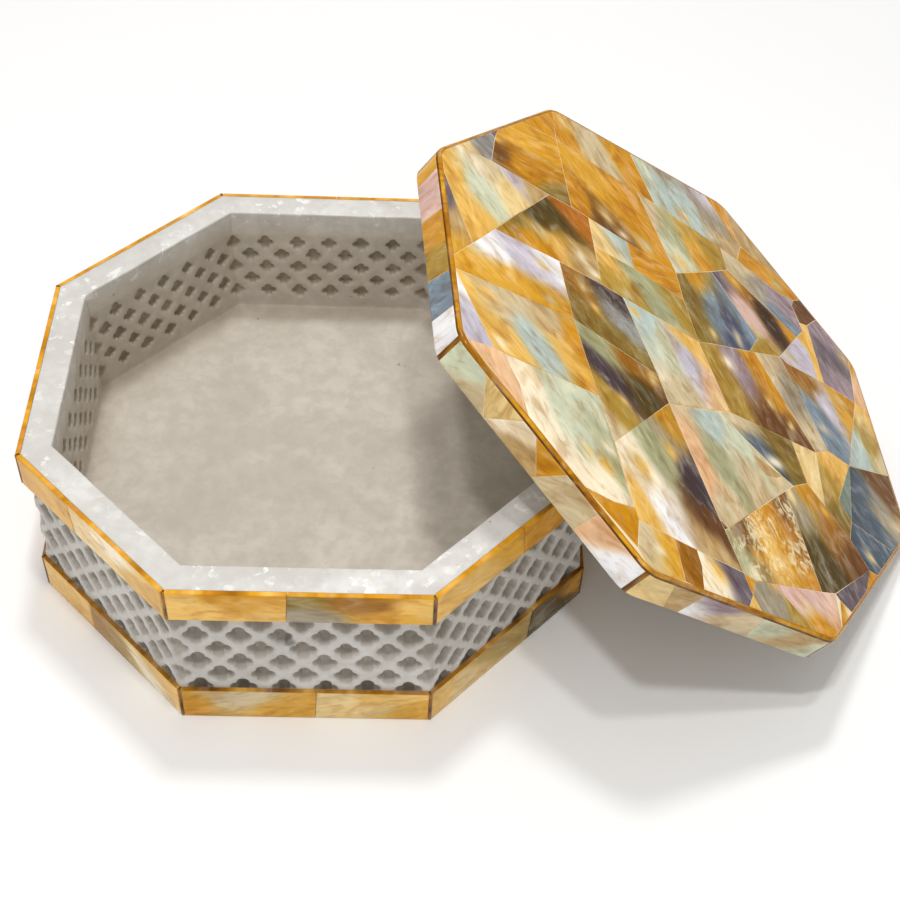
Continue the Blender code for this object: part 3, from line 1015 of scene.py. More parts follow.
def band(kind, z0, z1, seams):
    rng = random.Random(31 if kind == "rim" else 57)
    out = Outline(BOX_AP, 0.45, 4)
    b = Build()
    corner_w = 0.55

    def edge_tone(u, v, col):
        """Along the strip's top edge the shell is cut across and shows deep gold with pale glints."""
        if v < z1 - 0.4:
            return col
        w = 0.9 * vnoise(u * 0.12, 2.0, 5.0 if kind == "rim" else 9.0) + 0.25 * vnoise(u * 0.7, 7.0, 1.0)
        lo, mid, hi = (LIN["da"], LIN["am"], LIN["ho"]) if kind == "rim" else (LIN["br"], LIN["da"], LIN["ho"])
        t = 0.5 + w
        c = lo + (mid - lo) * min(max(t * 1.9, 0), 1) + (hi - mid) * min(max((t - 0.60) * 2.0, 0), 0.8)
        return (*[float(q) for q in c], 1.0)

    for i in range(8):
        cuts = [0.0, seams[i], 1.0]
        for s in range(2):
            u0, u1 = out.side(i, cuts[s]), out.side(i, cuts[s + 1])
            if s == 0:
                u0 += corner_w
            else:
                u1 -= corner_w
            text = BAND_PAINT.get((kind, i, s)) or MIXES[rng.randrange(len(MIXES))]
            angle = rng.uniform(-14, 14) + rng.choice((0, 0, 160, 22))
            paint = Paint(spread(text, u0, u1, z0, z1), [], angle, rng.uniform(0, 90), warp=1.0, stretch=2.2)
            lean = rng.uniform(-0.5, 0.5)
            poly = [(u0, z0), (u1 + (lean if s == 0 else 0), z0), (u1 - (lean if s == 0 else 0), z1), (u0, z1)]
            if s == 1:
                poly[0] = (u0 + last, z0)
                poly[3] = (u0 - last, z1)
            last = lean
            plate(b, poly, lambda u, v, h: (*out.at(u, h), v), paint, res=0.9, gap=0.05, soft=0.20, drop=0.16, depth=SHELL_T + 0.02, edge=edge_tone)
    # brown slips in the vertical corners
    for i in range(8):
        um = out.side(i, 1.0)
        seed = rng.uniform(0, 50)
        tone = rng.choice(("br", "br", "ch", "da"))
        paint = Paint([(tone, um, z0 + 1), ("db", um, z0 + 5), (tone, um, z1 - 3), ("da", um, z1)], [], 90, seed, warp=1.5, stretch=2.0)
        us = [-corner_w, -0.38, -0.2, 0.0, 0.2, 0.38, corner_w]
        hs = [-0.14, -0.01, 0.03, 0.05, 0.03, -0.01, -0.14]
        zs = [z0 + 0.05, z0 + 0.2] + [z0 + (z1 - z0) * k / 10 for k in range(1, 10)] + [z1 - 0.2, z1 - 0.05]
        grid = []
        for zi, z in enumerate(zs):
            row = []
            for u, h in zip(us, hs):
                col, suv = paint.colour(um + u, z)
                hh = h - (0.15 if zi in (0, len(zs) - 1) else 0.0)
                row.append(b.vert((*out.at(um + u, hh), z), tint=col, suv=suv))
            grid.append(row)
        for r in range(len(zs) - 1):
            for q in range(len(us) - 1):
                b.face((grid[r][q], grid[r][q + 1], grid[r + 1][q + 1], grid[r + 1][q]))
        # its top and bottom ends run back between the strips
        for zi, flip in ((len(zs) - 1, False), (0, True)):
            back = []
            for u in us:
                col, suv = paint.colour(um + u, zs[zi])
                back.append(b.vert((*out.at(um + u * 0.8, -SHELL_T), zs[zi]), tint=col, suv=suv))
            for q in range(len(us) - 1):
                f = (grid[zi][q], grid[zi][q + 1], back[q + 1], back[q])
                b.face(f if flip else tuple(reversed(f)))
    # back of the band, one closed sleeve of glue against the marble
    sleeve = []
    for d, z in ((SHELL_T - 0.35, z0 + 0.12), (SHELL_T - 0.35, z1 - 0.12), (SHELL_T + 0.03, z1 - 0.06), (SHELL_T + 0.03, z0 + 0.06)):
        sleeve.append([b.vert((x, y, z)) for x, y in ring(inset(BOX_AP, d))])
    for q in range(4):
        r0, r1 = sleeve[q], sleeve[(q + 1) % 4]
        for i in range(8):
            j = (i + 1) % 8
            b.face((r0[i], r0[j], r1[j], r1[i]), 1)
    ob = b.make(kind + "_band", [shell_material(kind + "_shell", 0.9, 0.5, value=1.30 if kind == "rim" else 1.16, saturation=1.0, gamma=1.08), SEAM], {"tint": (0.5, 0.3, 0.1, 1.0), "suv": (0, 0, 0)}, sharp=50.0)
    names = ["%s_shell_%s_%d" % (kind, SIDES[i], k) for i in range(8) for k in (1, 2)]
    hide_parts(*names)
    return ob


# =====================================================================================
# the lid
# =====================================================================================

# Corners of the mosaic's tiles on the lid's face: mm from its middle, the lid's own X and Y.
KNOTS = dict(
    e1=(-71.3, 36.6), e2=(-58.9, 49.4), e3=(-54.9, 53.3), e4=(-47.6, 60.7), i1=(-59.4, 37.2), i2=(-56.9, 47.3),
    i3=(-40.8, 35.7), i4=(-33.0, 35.6), i5=(-34.0, 61.2), i6=(-61.6, 11.7), i7=(-69.6, 2.5), l1=(-76.2, 24.0),
    l2=(-76.1, -4.7), l3=(-76.2, -8.8), f1=(-4.8, 75.7), f2=(25.7, 74.3), j1=(-4.9, 57.2), j2=(1.6, 56.6),
    j3=(16.5, 54.6), j4=(26.5, 52.9), j5=(36.4, 58.4), j6=(33.0, 51.2), j8=(27.0, 44.2), j7=(26.7, 46.0),
    g1=(54.1, 53.0), g2=(58.9, 48.5), g3=(64.2, 43.1), g5=(74.9, 33.2), g6=(77.4, 13.6), g7=(77.5, -9.6),
    k1=(55.1, 46.3), k2=(47.9, 46.5), k3=(53.8, 43.7), k4=(58.5, 38.1), k5=(55.4, 34.3), k6=(51.5, 30.3),
    k7=(55.1, 37.5), m1=(40.6, 17.9), m2=(43.1, 16.5), m3=(58.3, 16.1), m4=(55.8, 16.2), m5=(55.2, 26.5),
    n1=(19.4, 39.6), n2=(3.6, 30.8), n3=(-27.3, 34.8), n4=(-14.0, 33.1), o1=(-27.3, 24.6), o2=(-27.4, 10.9),
    o3=(-41.3, 11.6), o4=(-13.4, 23.5), o5=(-21.9, 24.1), o6=(4.0, 21.3), o7=(6.2, 7.2), o8=(-20.3, 10.0),
    p1=(-13.2, -12.9), p2=(-39.9, -6.9), p3=(-11.4, -21.0), p4=(11.9, -14.0), q2=(-33.7, -42.0), q3=(-36.1, -29.3),
    r1=(32.5, 20.7), r2=(27.2, 13.7), r3=(11.7, 9.2), s1=(71.0, 14.3), s2=(58.4, -13.2), s3=(50.5, -11.3),
    s4=(51.5, -34.1), s5=(48.5, -28.3), t0=(29.3, 14.3), t1=(44.5, -14.2), t2=(48.5, -40.6), t3=(41.7, -32.9),
    u0=(7.8, -15.8), u1=(34.9, -14.1), u2=(36.6, -27.2), u3=(30.5, -30.4), u4=(26.9, -28.8), u5=(15.1, -21.1),
    v1=(26.4, -33.4), v3=(0.0, -54.1), v4=(-2.3, -52.6), w1=(-1.4, -55.1), w3=(30.1, -62.4), w4=(5.4, -67.0),
    w5=(1.8, -66.0), x2=(-30.6, -62.5), y0=(-74.6, -29.8), y1=(-67.3, -28.9), y2=(-64.6, -29.1), y3=(-61.0, -36.6),
    y4=(-59.7, -45.3), z1=(-45.7, -59.3), z2=(-32.7, -70.7), z3=(-19.7, -64.0), z4=(-19.3, -75.0),
    z5=(-13.1, -64.6), z6=(-13.6, -75.9), z8=(0.8, -75.7), z0=(-30.0, -76.1), aa1=(12.1, -65.7), aa2=(23.7, -75.5),
    aa3=(5.2, -76.1), aa4=(35.4, -61.2), aa5=(34.1, -72.8), bb1=(53.1, -48.7), bb3=(36.5, -62.7), h1=(68.8, -38.9),
    h2=(58.0, -49.7), h3=(46.3, -61.2), h4=(41.3, -66.0), c1=(3.2, -71.7), q5=(-22.1, -30.8), q6=(-32.2, -48.9),
    q7=(-31.1, -59.4), q8=(-32.4, -53.6), q9=(-37.5, -60.1), l4=(-76.0, -27.2), v5=(24.2, -30.4), v6=(20.1, -31.3),
    v7=(17.6, -29.2), v8=(16.9, -25.9), v9=(16.0, -25.0), b1=(-12.5, -68.9), P1=(-77.0, 31.2), P2=(-33.2, 75.0),
    P3=(33.2, 75.0), P4=(77.0, 31.2), P5=(77.0, -29.8), P6=(30.3, -76.5), P7=(-30.3, -76.5), P8=(-77.0, -29.8),
)

# Tiles: corner names, direction of the streaks (degrees), broad tones at places (x,y)
TILES = (
    ("P1 e1 i1 i3 i6 i7 l1", -61, "ho -75,29 -73,5 -64,10, pg -53,26, be -63,36, gr -64,24, la -53,37, ta -47,34"),
    ("l1 i7 l2", -82, "pu -76,16, ta -74,6, go -74,-1"),
    ("e1 e2 i2 i1", -37, "pg -70,37, gy -59,40"),
    ("e2 e3 i2", -59, "pu -58,50"),
    ("e3 e4 i5 i4 i3 i1 i2", 4, "go -52,55 -38,56, am -48,42, br -56,42, ol -34,37"),
    ("e4 P2 i5", -43, "am -34,68"),
    ("P2 f1 j2 j1 i5", -62, "am -32,69 -8,67, be -16,63 -22,68"),
    ("f1 f2 j5 j6 j4 j3 j2", -64, "gr 2,69, gb 4,77 28,63, aq 5,66 15,59, la 26,72, ta 31,56"),
    ("f2 P3 j5", -63, "am 30,69"),
    ("P3 g1 j5", -47, "ta 37,68 44,60"),
    ("j5 g1 g2 k1 k2 j6", -31, "am 38,56 44,47 51,50"),
    ("k1 g2 g3 k4 k7 k3", -45, "br 58,47"),
    ("j4 j6 k2 k1 k3 k5 k6 j8 j7", -40, "be 32,48, st 49,33, gb 37,44, ma 49,39"),
    ("j1 j2 j3 j4 j8 n1 n2", -54, "be -4,55, sa 8,45, og 24,50, go 14,42, gr 8,39"),
    ("i5 j1 n2 n4 n3 i4", -44, "go -32,60 -21,52, am -6,44 -32,42 0,35 -11,57, br -20,35"),
    ("i3 i4 n3 o1 o2 o3 i6", -37, "do -49,26 -44,31, ol -54,20, am -48,14, ru -36,35, go -42,18, ta -33,14"),
    ("n3 n4 o4 o5 o1", -51, "pg -26,33, aq -21,35"),
    ("n4 n2 o6 o4", 2, "am -4,26"),
    ("o1 o5 o4 o6 o7 o8 o2", -45, "ho -23,22, og -19,15 1,14 4,20, sa -15,22 -6,14"),
    ("o3 o2 o8 p1 p2", -48, "da -38,6, ol -33,-5 -38,2 -21,-8, pl -25,9, gy -22,-2"),
    ("o8 o7 p4 p3 p1", -61, "aq -16,8, gr -8,-2, be -3,-16, ho 1,8, la 0,-4, pc 9,-13"),
    ("p2 p1 p3 q2 q3", -47, "sa -35,-10, do -18,-23, da -22,-13, og -32,-28, br -16,-16, pl -32,-21, be -35,-37"),
    ("n2 n1 r1 r2 r3 o7 o6", -67, "ol 5,27 6,12, am 11,34, st 15,26 28,25, in 23,17"),
    ("n1 j8 k6 m1 r2 r1", -45, "pu 21,38, da 32,41, db 41,30, am 49,30, pi 30,30, og 35,18"),
    ("m1 k6 m5 m4 m2", -40, "la 52,22"),
    ("k6 k5 k7 k4 m3 m4 m5", -67, "ho 53,32 57,19"),
    ("k4 g3 g5 s1 m3", -58, "pu 65,30, ma 62,38 74,35 70,17"),
    ("g5 P4 g6 s1", -78, "go 76,31, pc 76,19"),
    ("m1 m2 m3 s1 s2 s3", -53, "da 47,16, la 58,6, am 68,13, go 64,4, st 53,-2"),
    ("s1 g6 g7 s2", -84, "ho 72,12, be 76,-8, og 72,2, aq 65,-6"),
    ("s2 g7 P5 h1 s4", -45, "sl 58,-20 62,-32, gb 68,-29, br 74,-17"),
    ("s2 s4 s5", -80, "te 53,-25"),
    ("t1 s3 s2 s5 s4 t2 t3", -77, "ho 48,-14, og 46,-24, ol 48,-35"),
    ("t0 m1 s3 t1", -65, "be 33,16 47,-8, gb 42,3"),
    ("o7 r3 r2 t0 t1 p4", -69, "og 10,3 14,-4, br 29,-12 36,-10, ma 20,4, am 28,12 34,0"),
    ("p4 u1 u2 u3 u4 u5 u0", -37, "be 13,-15, sl 21,-24, ol 32,-16 34,-25"),
    ("u1 t1 t3 u2", -89, "pg 37,-15 40,-28"),
    ("p3 u0 u5 u4 u3 v1 v3 v4", -60, "be -11,-21 14,-35 26,-32 2,-49, pc -4,-40 -9,-27, aq 2,-21, gr 13,-28, sa 3,-34"),
    ("v9 u4 v5 v6 v7 v8", -41, "ta 21,-28"),
    ("v4 v3 w1", -24, "br -1,-54"),
    ("w1 v3 v1 w3 w4 w5", -69, "br 4,-54 25,-36, am 18,-47 27,-62, da 28,-51, ho 15,-56, sa 4,-61"),
    ("q2 q5 p3 v4 w1 w5 z3 x2 q7 q6", -60, "cr -32,-42 -25,-50, sa -20,-38, gb -17,-30, ch -5,-56, ta -4,-64, ho -28,-58, am -17,-27, pl -8,-44, pe -22,-57"),
    ("l2 i7 i6 o3 p2 l3", -28, "go -74,-6 -57,-4, pe -63,4 -42,9, am -46,-6, la -54,6"),
    ("l3 p2 q3 y1", -39, "ho -75,-10 -64,-24 -43,-21, be -66,-13 -56,-8, ta -50,-10, am -40,-16 -37,-28, aq -53,-22"),
    ("l3 y1 y0 l4", -60, "wh -76,-11, la -75,-23"),
    ("y0 y1 y2 y3 y4", -65, "pc -73,-30 -66,-36"),
    ("y2 q3 q2 q8 q7 q9 z1 y4", -56, "cr -59,-34 -55,-47 -50,-53 -38,-59, gr -50,-32 -47,-42 -37,-35, sa -34,-46"),
    ("z1 q9 q7 x2 z2", -56, "am -38,-65"),
    ("x2 z3 z4 z0 z2", -46, "be -30,-66, go -20,-71"),
    ("z3 z5 b1 z6 z4", -64, "da -18,-68"),
    ("z5 w5 c1 z8 z6", -54, "cr -11,-69, pu -0,-70"),
    ("w5 w4 c1", -81, "am 2,-68"),
    ("c1 aa3 z8", -82, "ho 3,-74"),
    ("w4 aa1 aa2 aa3 c1", -71, "gb 10,-70, og 20,-74"),
    ("aa1 w3 aa4 aa5 P6 aa2", -51, "pi 15,-66 25,-65, am 28,-75"),
    ("v1 u3 u2 t3 t2 bb1 aa4 w3", -70, "am 33,-31, da 42,-40, gb 31,-35, br 46,-48, do 36,-55"),
    ("t2 s4 h1 h2 bb1", -50, "sl 54,-41"),
    ("bb1 h2 h3", -65, "am 52,-54"),
    ("aa4 bb1 h3 h4 bb3", -70, "pu 47,-54"),
    ("bb3 h4 aa5", -79, "am 37,-64"),
)

# tiles whose shell is crackled, and how much
LACE = {"w1 v3 v1 w3 w4 w5": 1.0, "y2 q3 q2 q8 q7 q9 z1 y4": 0.12, "o3 o2 o8 p1 p2": 0.12}

# Sides of the lid: tiles as (share of the side's length, share of its height) outlines, with their tones the same way
EDGE_TILES = {
    4: (((0.011, 0), (0.10, 0), (0.10, 1), (0.011, 1), 80, "go 0.075,0.55"),
        ((0.10, 0), (0.30, 0), (0.33, 1), (0.10, 1), 75, "pi 0.2,0.65"),
        ((0.30, 0), (0.62, 0), (0.66, 1), (0.33, 1), 70, "am 0.41,0.3, og 0.56,0.5"),
        ((0.62, 0), (0.82, 0), (0.84, 1), (0.66, 1), 72, "st 0.68,0.5"),
        ((0.82, 0), (0.989, 0), (0.989, 1), (0.84, 1), 70, "pe 0.93,0.6")),
    5: (((0.011, 0), (0.2566, 0), (0.151, 1), (0.011, 1), 20, "gr 0.05,0.7, be 0.23,0.15"),
        ((0.151, 1), (0.2566, 0), (0.354, 1), 100, "pg 0.18,0.9"),
        ((0.354, 1), (0.2566, 0), (0.51, 0), (0.52, 0.15), (0.417, 1), 15, "cr 0.35,0.65, ta 0.44,0.4"),
        ((0.417, 1), (0.52, 0.15), (0.583, 1), 20, "am 0.48,0.6"),
        ((0.583, 1), (0.52, 0.15), (0.51, 0), (0.735, 0), (0.745, 1), 25, "be 0.55,0.3"),
        ((0.745, 1), (0.735, 0), (0.989, 0), (0.989, 1), 15, "pc 0.76,0.6, pe 0.95,0.45")),
    6: (((0.011, 0), (0.203, 0), (0.138, 1), (0.011, 1), 12, "pg 0.05,0.6"),
        ((0.203, 0), (0.275, 0), (0.29, 1), (0.138, 1), 10, "ta 0.17,0.8"),
        ((0.275, 0), (0.635, 0), (0.612, 1), (0.29, 1), 14, "pe 0.3,0.4, ma 0.42,0.85, be 0.54,0.7"),
        ((0.635, 0), (0.989, 0), (0.989, 1), (0.612, 1), 14, "gr 0.65,0.6 0.93,0.4, ta 0.83,0.45")),
}
EDGE_MIXES = (
    "go 0.1,0.5, am 0.5,0.3, cr 0.8,0.7, ho 0.3,0.8",
    "pe 0.2,0.4, la 0.5,0.7, be 0.8,0.4, gr 0.6,0.2",
    "og 0.2,0.6, ta 0.5,0.4, am 0.9,0.6, ol 0.7,0.2",
    "am 0.1,0.4, da 0.5,0.6, go 0.8,0.3, br 0.95,0.8",
    "be 0.15,0.5, cr 0.5,0.6, ma 0.7,0.4, gy 0.9,0.7",
)


def corner_knots(out, u0, u1, step):
    n = max(1, int((u1 - u0) / step))
    vals = [u0 + (u1 - u0) * (k + 0.5) / n for k in range(n)]
    for k in out.knots:
        for w in (k - out.total, k, k + out.total):
            if u0 < w < u1:
                vals.append(w)
    vals.sort()
    keep = []
    for v in vals:
        if not keep or v - keep[-1] > 0.15:
            keep.append(v)
    return keep


ARRIS = 1.05
LID_R = 8.0


def build_lid_top(place):
    out = Outline(LID_AP, LID_R, 6)
    b = Build()
    window = [out.at(s, -ARRIS - 0.02) for s in out.knots]
    rng = random.Random(77)
    glint_rng = random.Random(5)
    res = 0.62
    for names, angle, tones in TILES:
        poly = [KNOTS[n] for n in names.split(" ")]
        if signed_area(poly) < 0:
            poly = poly[::-1]
        poly = clip_convex(poly, window)
        if not poly:
            continue
        tt = []
        for part in tones.split(", "):
            w = part.split(" ")
            tt += [(w[0], float(p.split(",")[0]), float(p.split(",")[1])) for p in w[1:]]
        gg = []
        mid = (sum(p[0] for p in poly) / len(poly), sum(p[1] for p in poly) / len(poly))
        # painted glints: a few soft highlight spots in pale tones at random places in each tile
        for q in range(int(signed_area(poly) / 240.0 + glint_rng.random())):
            to, f = glint_rng.choice(poly), math.sqrt(glint_rng.random()) * 0.85
            gg.append((glint_rng.choice(("cr", "pg", "be", "ho")), mid[0] + (to[0] - mid[0]) * f, mid[1] + (to[1] - mid[1]) * f, glint_rng.uniform(0.9, 1.8)))
        paint = Paint(tt, gg, angle, rng.uniform(0, 90), warp=1.15, stretch=2.0, soft=8.0, lace=LACE.get(names, 0.0))
        tilt = (rng.uniform(-0.0016, 0.0016), rng.uniform(-0.0016, 0.0016))
        plate(b, poly, lambda u, v, h: (u, v, LID_T + h), paint, res=res, gap=0.085, soft=0.10, drop=0.05, depth=0.5, tilt=tilt, lift=-0.02)
    # bed under the tiles
    lo, hi = LID_T - SHELL_T, LID_T - 0.10
    rings = []
    for d, z in ((ARRIS - 0.05, lo), (ARRIS - 0.05, hi)):
        rings.append([b.vert((*out.at(s, -d), z)) for s in out.knots])
    n = len(out.knots)
    for i in range(n):
        j = (i + 1) % n
        b.face((rings[0][i], rings[0][j], rings[1][j], rings[1][i]), 1)
    b.face(rings[1], 1)
    b.face(list(reversed(rings[0])), 1)
    ob = b.make("lid_mosaic_tiles", [shell_material("mosaic_shell", lace=True), SEAM], {"tint": (0.6, 0.5, 0.3, 1.0), "suv": (0, 0, 0), "lace": (0, 0, 0)}, place, sharp=40.0)
    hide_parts("lid_mosaic")
    return ob


def build_lid_edges(place):
    out = Outline(LID_AP, LID_R, 6)
    b = Build()
    rng = random.Random(5)
    z0, z1 = 0.12, LID_T - ARRIS + 0.05
    for i in range(8):
        if i in EDGE_TILES:
            tiles = [(t[:-2], t[-2], t[-1]) for t in EDGE_TILES[i]]
        else:
            cuts = [0.011, rng.uniform(0.28, 0.40), rng.uniform(0.6, 0.72), 0.989]
            lean = [0.0, rng.uniform(-0.05, 0.05), rng.uniform(-0.05, 0.05), 0.0]
            tiles = []
            for q in range(3):
                poly = ((cuts[q] - lean[q], 0), (cuts[q + 1] - lean[q + 1], 0), (cuts[q + 1] + lean[q + 1], 1), (cuts[q] + lean[q], 1))
                text = EDGE_MIXES[rng.randrange(len(EDGE_MIXES))]
                out_t = []
                for part in text.split(", "):
                    w = part.split(" ")
                    a, c = w[1].split(",")
                    out_t.append("%s %.3f,%s" % (w[0], cuts[q] + (cuts[q + 1] - cuts[q]) * float(a), c))
                tiles.append((poly, rng.uniform(5, 75), ", ".join(out_t)))
        for poly, angle, text in tiles:
            pts = [(out.side(i, p[0]), z0 + (z1 - z0) * p[1]) for p in poly]
            tones = spread(text, out.side(i, 0.0), out.side(i, 1.0), z0, z1)
            paint = Paint(tones, [], angle, rng.uniform(0, 90), warp=1.0, stretch=2.4)
            us = [p[0] for p in pts]
            plate(b, pts, lambda u, v, h: (*out.at(u, h), v), paint, res=0.8, gap=0.07, soft=0.12, drop=0.07, depth=0.6,
                  cuts=corner_knots(out, min(us), max(us), 0.8))
    # brown slips down the corners
    for i in range(8):
        um = out.side(i, 1.0)
        w = out.lengths[i] * 0.011
        tone = ("br", "ch", "br", "da", "br", "br", "da", "br")[i]
        paint = Paint([(tone, um, z0 + 1), ("db", um - 0.6, z0 + 4), ("am", um + 0.6, z0 + 5), (tone, um, z1)], [], 90, rng.uniform(0, 50), warp=1.2, stretch=2.0)
        poly = [(um - w, z0), (um + out.lengths[(i + 1) % 8] * 0.011, z0), (um + out.lengths[(i + 1) % 8] * 0.011, z1), (um - w, z1)]
        plate(b, poly, lambda u, v, h: (*out.at(u, h), v), paint, res=0.8, gap=0.04, soft=0.12, drop=0.06, depth=0.6, lift=0.02,
              cuts=corner_knots(out, poly[0][0], poly[1][0], 0.5))
    # arris bead along the top edge: brown, with a painted highlight of gold to amber along the middle of its curve
    n = 0
    rows = []
    steps = int(out.total / 0.8)
    ss = sorted(set([round(out.total * k / steps, 3) for k in range(steps)] + [round(k % out.total, 3) for k in out.knots]))
    prof = []
    for q in range(9):
        a = math.pi / 2 * q / 8
        prof.append((ARRIS * (1 - math.cos(a)), LID_T - ARRIS + ARRIS * math.sin(a), q / 8.0))
    prof = [(0.5, LID_T - ARRIS - 0.02, 0.0)] + prof + [(ARRIS, LID_T - 0.5, 1.0)]
    for s in ss:
        seg = vnoise(s * 0.055, 3.0, 1.0) + 0.5 * vnoise(s * 0.21, 1.0, 6.0)
        fine = vnoise(s * 0.9, 2.0, 2.0)
        row = []
        for d, z, t in prof:
            edge_line = 0.30 + 0.10 * seg
            if t < edge_line:
                col = LIN["br"] * 0.9 if seg > -0.25 else LIN["da"]
            # painted highlight: the middle of the bead's curve is painted gold to amber
            elif t < 0.78 + 0.08 * fine:
                k = min(max(0.38 + 1.2 * seg + 0.3 * fine, 0.0), 1.0)
                col = LIN["da"] * (1 - k) + (LIN["go"] * 0.7 + LIN["am"] * 0.3) * k
            else:
                col = LIN["am"] * 0.6 + LIN["br"] * 0.4
            col = col * (1.0 + 0.25 * fine)
            row.append(b.vert((*out.at(s, -d), z), tint=(*[float(c) for c in col], 1.0), suv=(s, d * 2.0, 40.0)))
        rows.append(row)
    m = len(rows)
    for i in range(m):
        r0, r1 = rows[i], rows[(i + 1) % m]
        for q in range(len(prof)):
            p = (q + 1) % len(prof)
            b.face((r0[q], r1[q], r1[p], r0[p]))
    # bed behind the side tiles
    sleeve = []
    for d, z in ((0.10, z0 + 0.05), (0.10, z1 - 0.05), (SHELL_T + 0.02, z1 - 0.05), (SHELL_T + 0.02, z0 + 0.05)):
        sleeve.append([b.vert((*out.at(s, -d), z)) for s in out.knots])
    n = len(out.knots)
    for q in range(4):
        r0, r1 = sleeve[q], sleeve[(q + 1) % 4]
        for i in range(n):
            j = (i + 1) % n
            b.face((r0[i], r0[j], r1[j], r1[i]), 1)
    ob = b.make("lid_edge_tiles", [shell_material("edge_shell", 0.9, 0.7), SEAM], {"tint": (0.6, 0.5, 0.3, 1.0), "suv": (0, 0, 0)}, place, sharp=42.0)
    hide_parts(*["lid_edge_%s" % s for s in SIDES])
    return ob


def build_lid_marble(place):
    """The slab and its locating step, edges softened."""
    slab = Outline(inset(LID_AP, SHELL_T + 0.04), 1.4, 4)
    step = Outline([a - RIM_W - 1.0 for a in BOX_AP], 2.0, 4)
    b = Build()
    rings = []

    def add(out, d, z, polish):
        # painted shade: the lid's marble is painted warm and darker, as in shade under the lid
        rings.append([b.vert((*out.at(s, -d), z + 0.03 * vnoise(s * 0.2, z, 4.0)), zone=(0.15, polish * 0.6, 0.7)) for s in out.knots])

    for q in range(4):
        a = math.pi / 2 * q / 3
        add(step, 0.6 * (1 - math.sin(a)), -LID_STEP_H + 0.6 * (1 - math.cos(a)), 0.4)
    for q in range(4):
        a = math.pi / 2 * q / 3
        add(step, -0.5 * (1 - math.cos(a)), -0.5 * (1 - math.sin(a)), 0.2)
    add(slab, 0.25, 0.0, 0.3)
    add(slab, 0.0, 0.25, 0.2)
    add(slab, 0.0, LID_T - SHELL_T - 0.05, 0.0)
    n = len(rings[0])
    for r0, r1 in zip(rings[:-1], rings[1:]):
        for i in range(n):
            j = (i + 1) % n
            b.face((r0[i], r0[j], r1[j], r1[i]))
    b.face(rings[-1])
    # the step's face, in rings so that it shades well
    prev = rings[0]
    for share in (0.66, 0.33):
        cur = []
        for s in step.knots:
            x, y = step.at(s, -0.6)
            cur.append(b.vert((x * share, y * share, -LID_STEP_H), zone=(0.15, 0.3, 0.7)))
        for i in range(n):
            j = (i + 1) % n
            b.face((prev[j], prev[i], cur[i], cur[j]))
        prev = cur
    mid = b.vert((0, 0, -LID_STEP_H), zone=(0.15, 0.3, 0.7))
    for i in range(n):
        b.face((prev[(i + 1) % n], prev[i], mid))
    ob = b.make("lid_marble", [MARBLE], {"zone": (0.0, 0.0, 0.0)}, place, sharp=40.0)
    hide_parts("lid_slab")
    return ob


# =====================================================================================
# floor, light, camera
# =====================================================================================

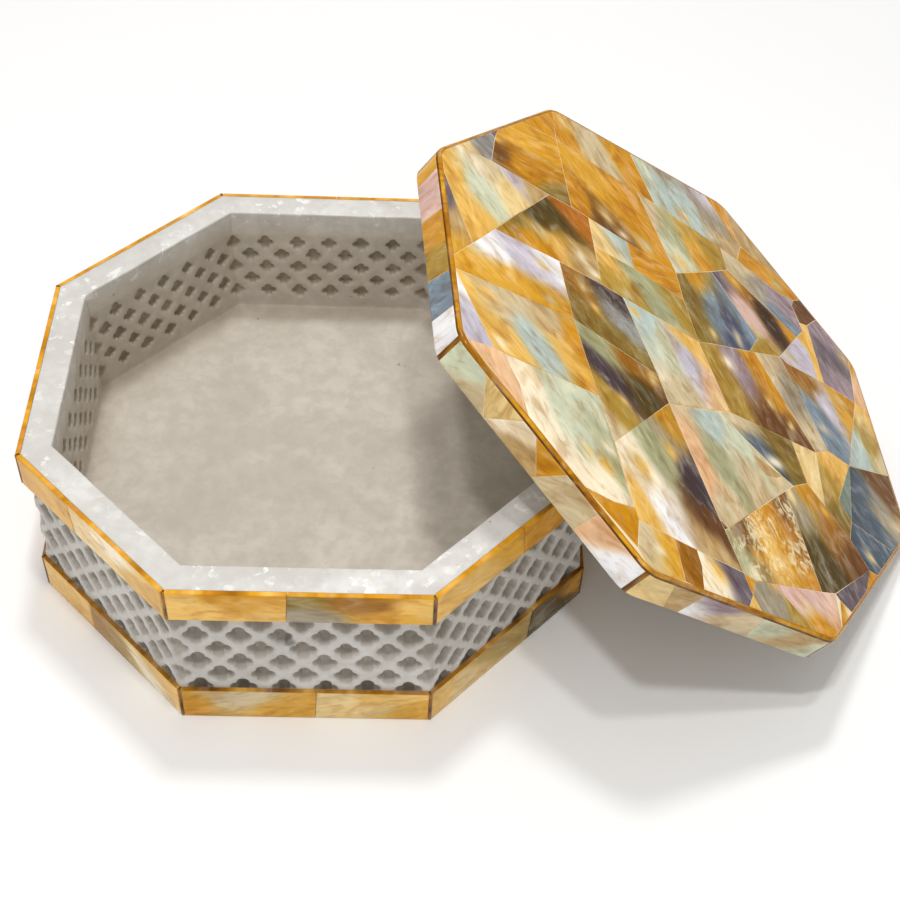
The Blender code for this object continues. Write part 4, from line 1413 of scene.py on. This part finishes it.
def build_stage():
    me = bpy.data.meshes.new("floor")
    s = 12.0
    me.from_pydata([(-s, -s, 0), (s, -s, 0), (s, s, 0), (-s, s, 0)], [], [(0, 1, 2, 3)])
    me.materials.append(floor_material())
    ob = link(bpy.data.objects.new("floor", me))

    scene = bpy.context.scene
    world = bpy.data.worlds.new("studio")
    scene.world = world
    world.use_nodes = True
    t = world.node_tree
    bg = t.nodes["Background"]
    grad = t.nodes.new("ShaderNodeTexGradient")
    coord = t.nodes.new("ShaderNodeTexCoord")
    sep = t.nodes.new("ShaderNodeSeparateXYZ")
    t.links.new(coord.outputs["Generated"], sep.inputs[0])
    mp = t.nodes.new("ShaderNodeMapRange")
    mp.interpolation_type = "SMOOTHSTEP"
    t.links.new(sep.outputs[2], mp.inputs["Value"])
    mp.inputs["From Min"].default_value = -0.05
    mp.inputs["From Max"].default_value = 0.7
    mp.inputs["To Min"].default_value = WORLD_LOW
    mp.inputs["To Max"].default_value = WORLD_HIGH
    t.nodes.remove(grad)
    t.links.new(mp.outputs["Result"], bg.inputs["Strength"])
    bg.inputs["Color"].default_value = (1.0, 0.988, 0.972, 1.0)

    def area(name, where, aim, size, power, colour=(1, 1, 1)):
        l = bpy.data.lights.new(name, "AREA")
        l.shape = "DISK"
        l.size = size
        l.energy = power
        l.color = colour
        o = link(bpy.data.objects.new(name, l))
        o.location = where
        d = Vector(aim) - Vector(where)
        o.rotation_euler = d.to_track_quat("-Z", "Y").to_euler()
        return o

    area("key_front", (-0.105, -0.273, 0.956), (0.04, 0.0, 0.03), 0.055, KEY)
    area("key_top", (0.057, -0.127, 0.990), (0.04, 0.0, 0.03), 0.055, TOP)
    area("key_back", (0.013, 0.242, 0.970), (0.04, 0.0, 0.03), 0.13, BACK)
    area("front_fill", (-0.25, -1.1, 0.75), (0.04, 0.0, 0.03), 0.9, FILL)

    cam_data = bpy.data.cameras.new("camera")
    cam_data.lens = 61.267
    cam_data.sensor_width = 36.0
    cam_data.clip_start = 0.01
    cam = link(bpy.data.objects.new("camera", cam_data))
    az, el, roll = math.radians(-2.6458), math.radians(48.8744), math.radians(3.3416)
    d = Vector((math.sin(az) * math.cos(el), -math.cos(az) * math.cos(el), math.sin(el)))
    right = Vector((math.cos(az), math.sin(az), 0.0))
    up = right.cross(-d)
    cx = right * math.cos(roll) + up * math.sin(roll)
    cy = -right * math.sin(roll) + up * math.cos(roll)
    m = Matrix(((cx.x, cy.x, d.x, 22.374 * MM), (cx.y, cy.y, d.y, -267.965 * MM), (cx.z, cy.z, d.z, 330.084 * MM), (0, 0, 0, 1)))
    cam.matrix_world = m
    scene.camera = cam
    scene.view_settings.view_transform = "Standard"
    scene.view_settings.look = "None"


WORLD_LOW, WORLD_HIGH = 0.32, 0.52
KEY, TOP, BACK, FILL = 2.05, 1.45, 2.9, 0.7

SEAM = resin_material()
MARBLE = marble_material()
build_marble()
band("rim", TOP_BAND_Z, BOX_H, TOP_SEAMS)
band("foot", 0.0, FOOT_BAND_Z, FOOT_SEAMS)
PLACE = lid_matrix()
build_lid_top(PLACE)
build_lid_edges(PLACE)
build_lid_marble(PLACE)
build_stage()
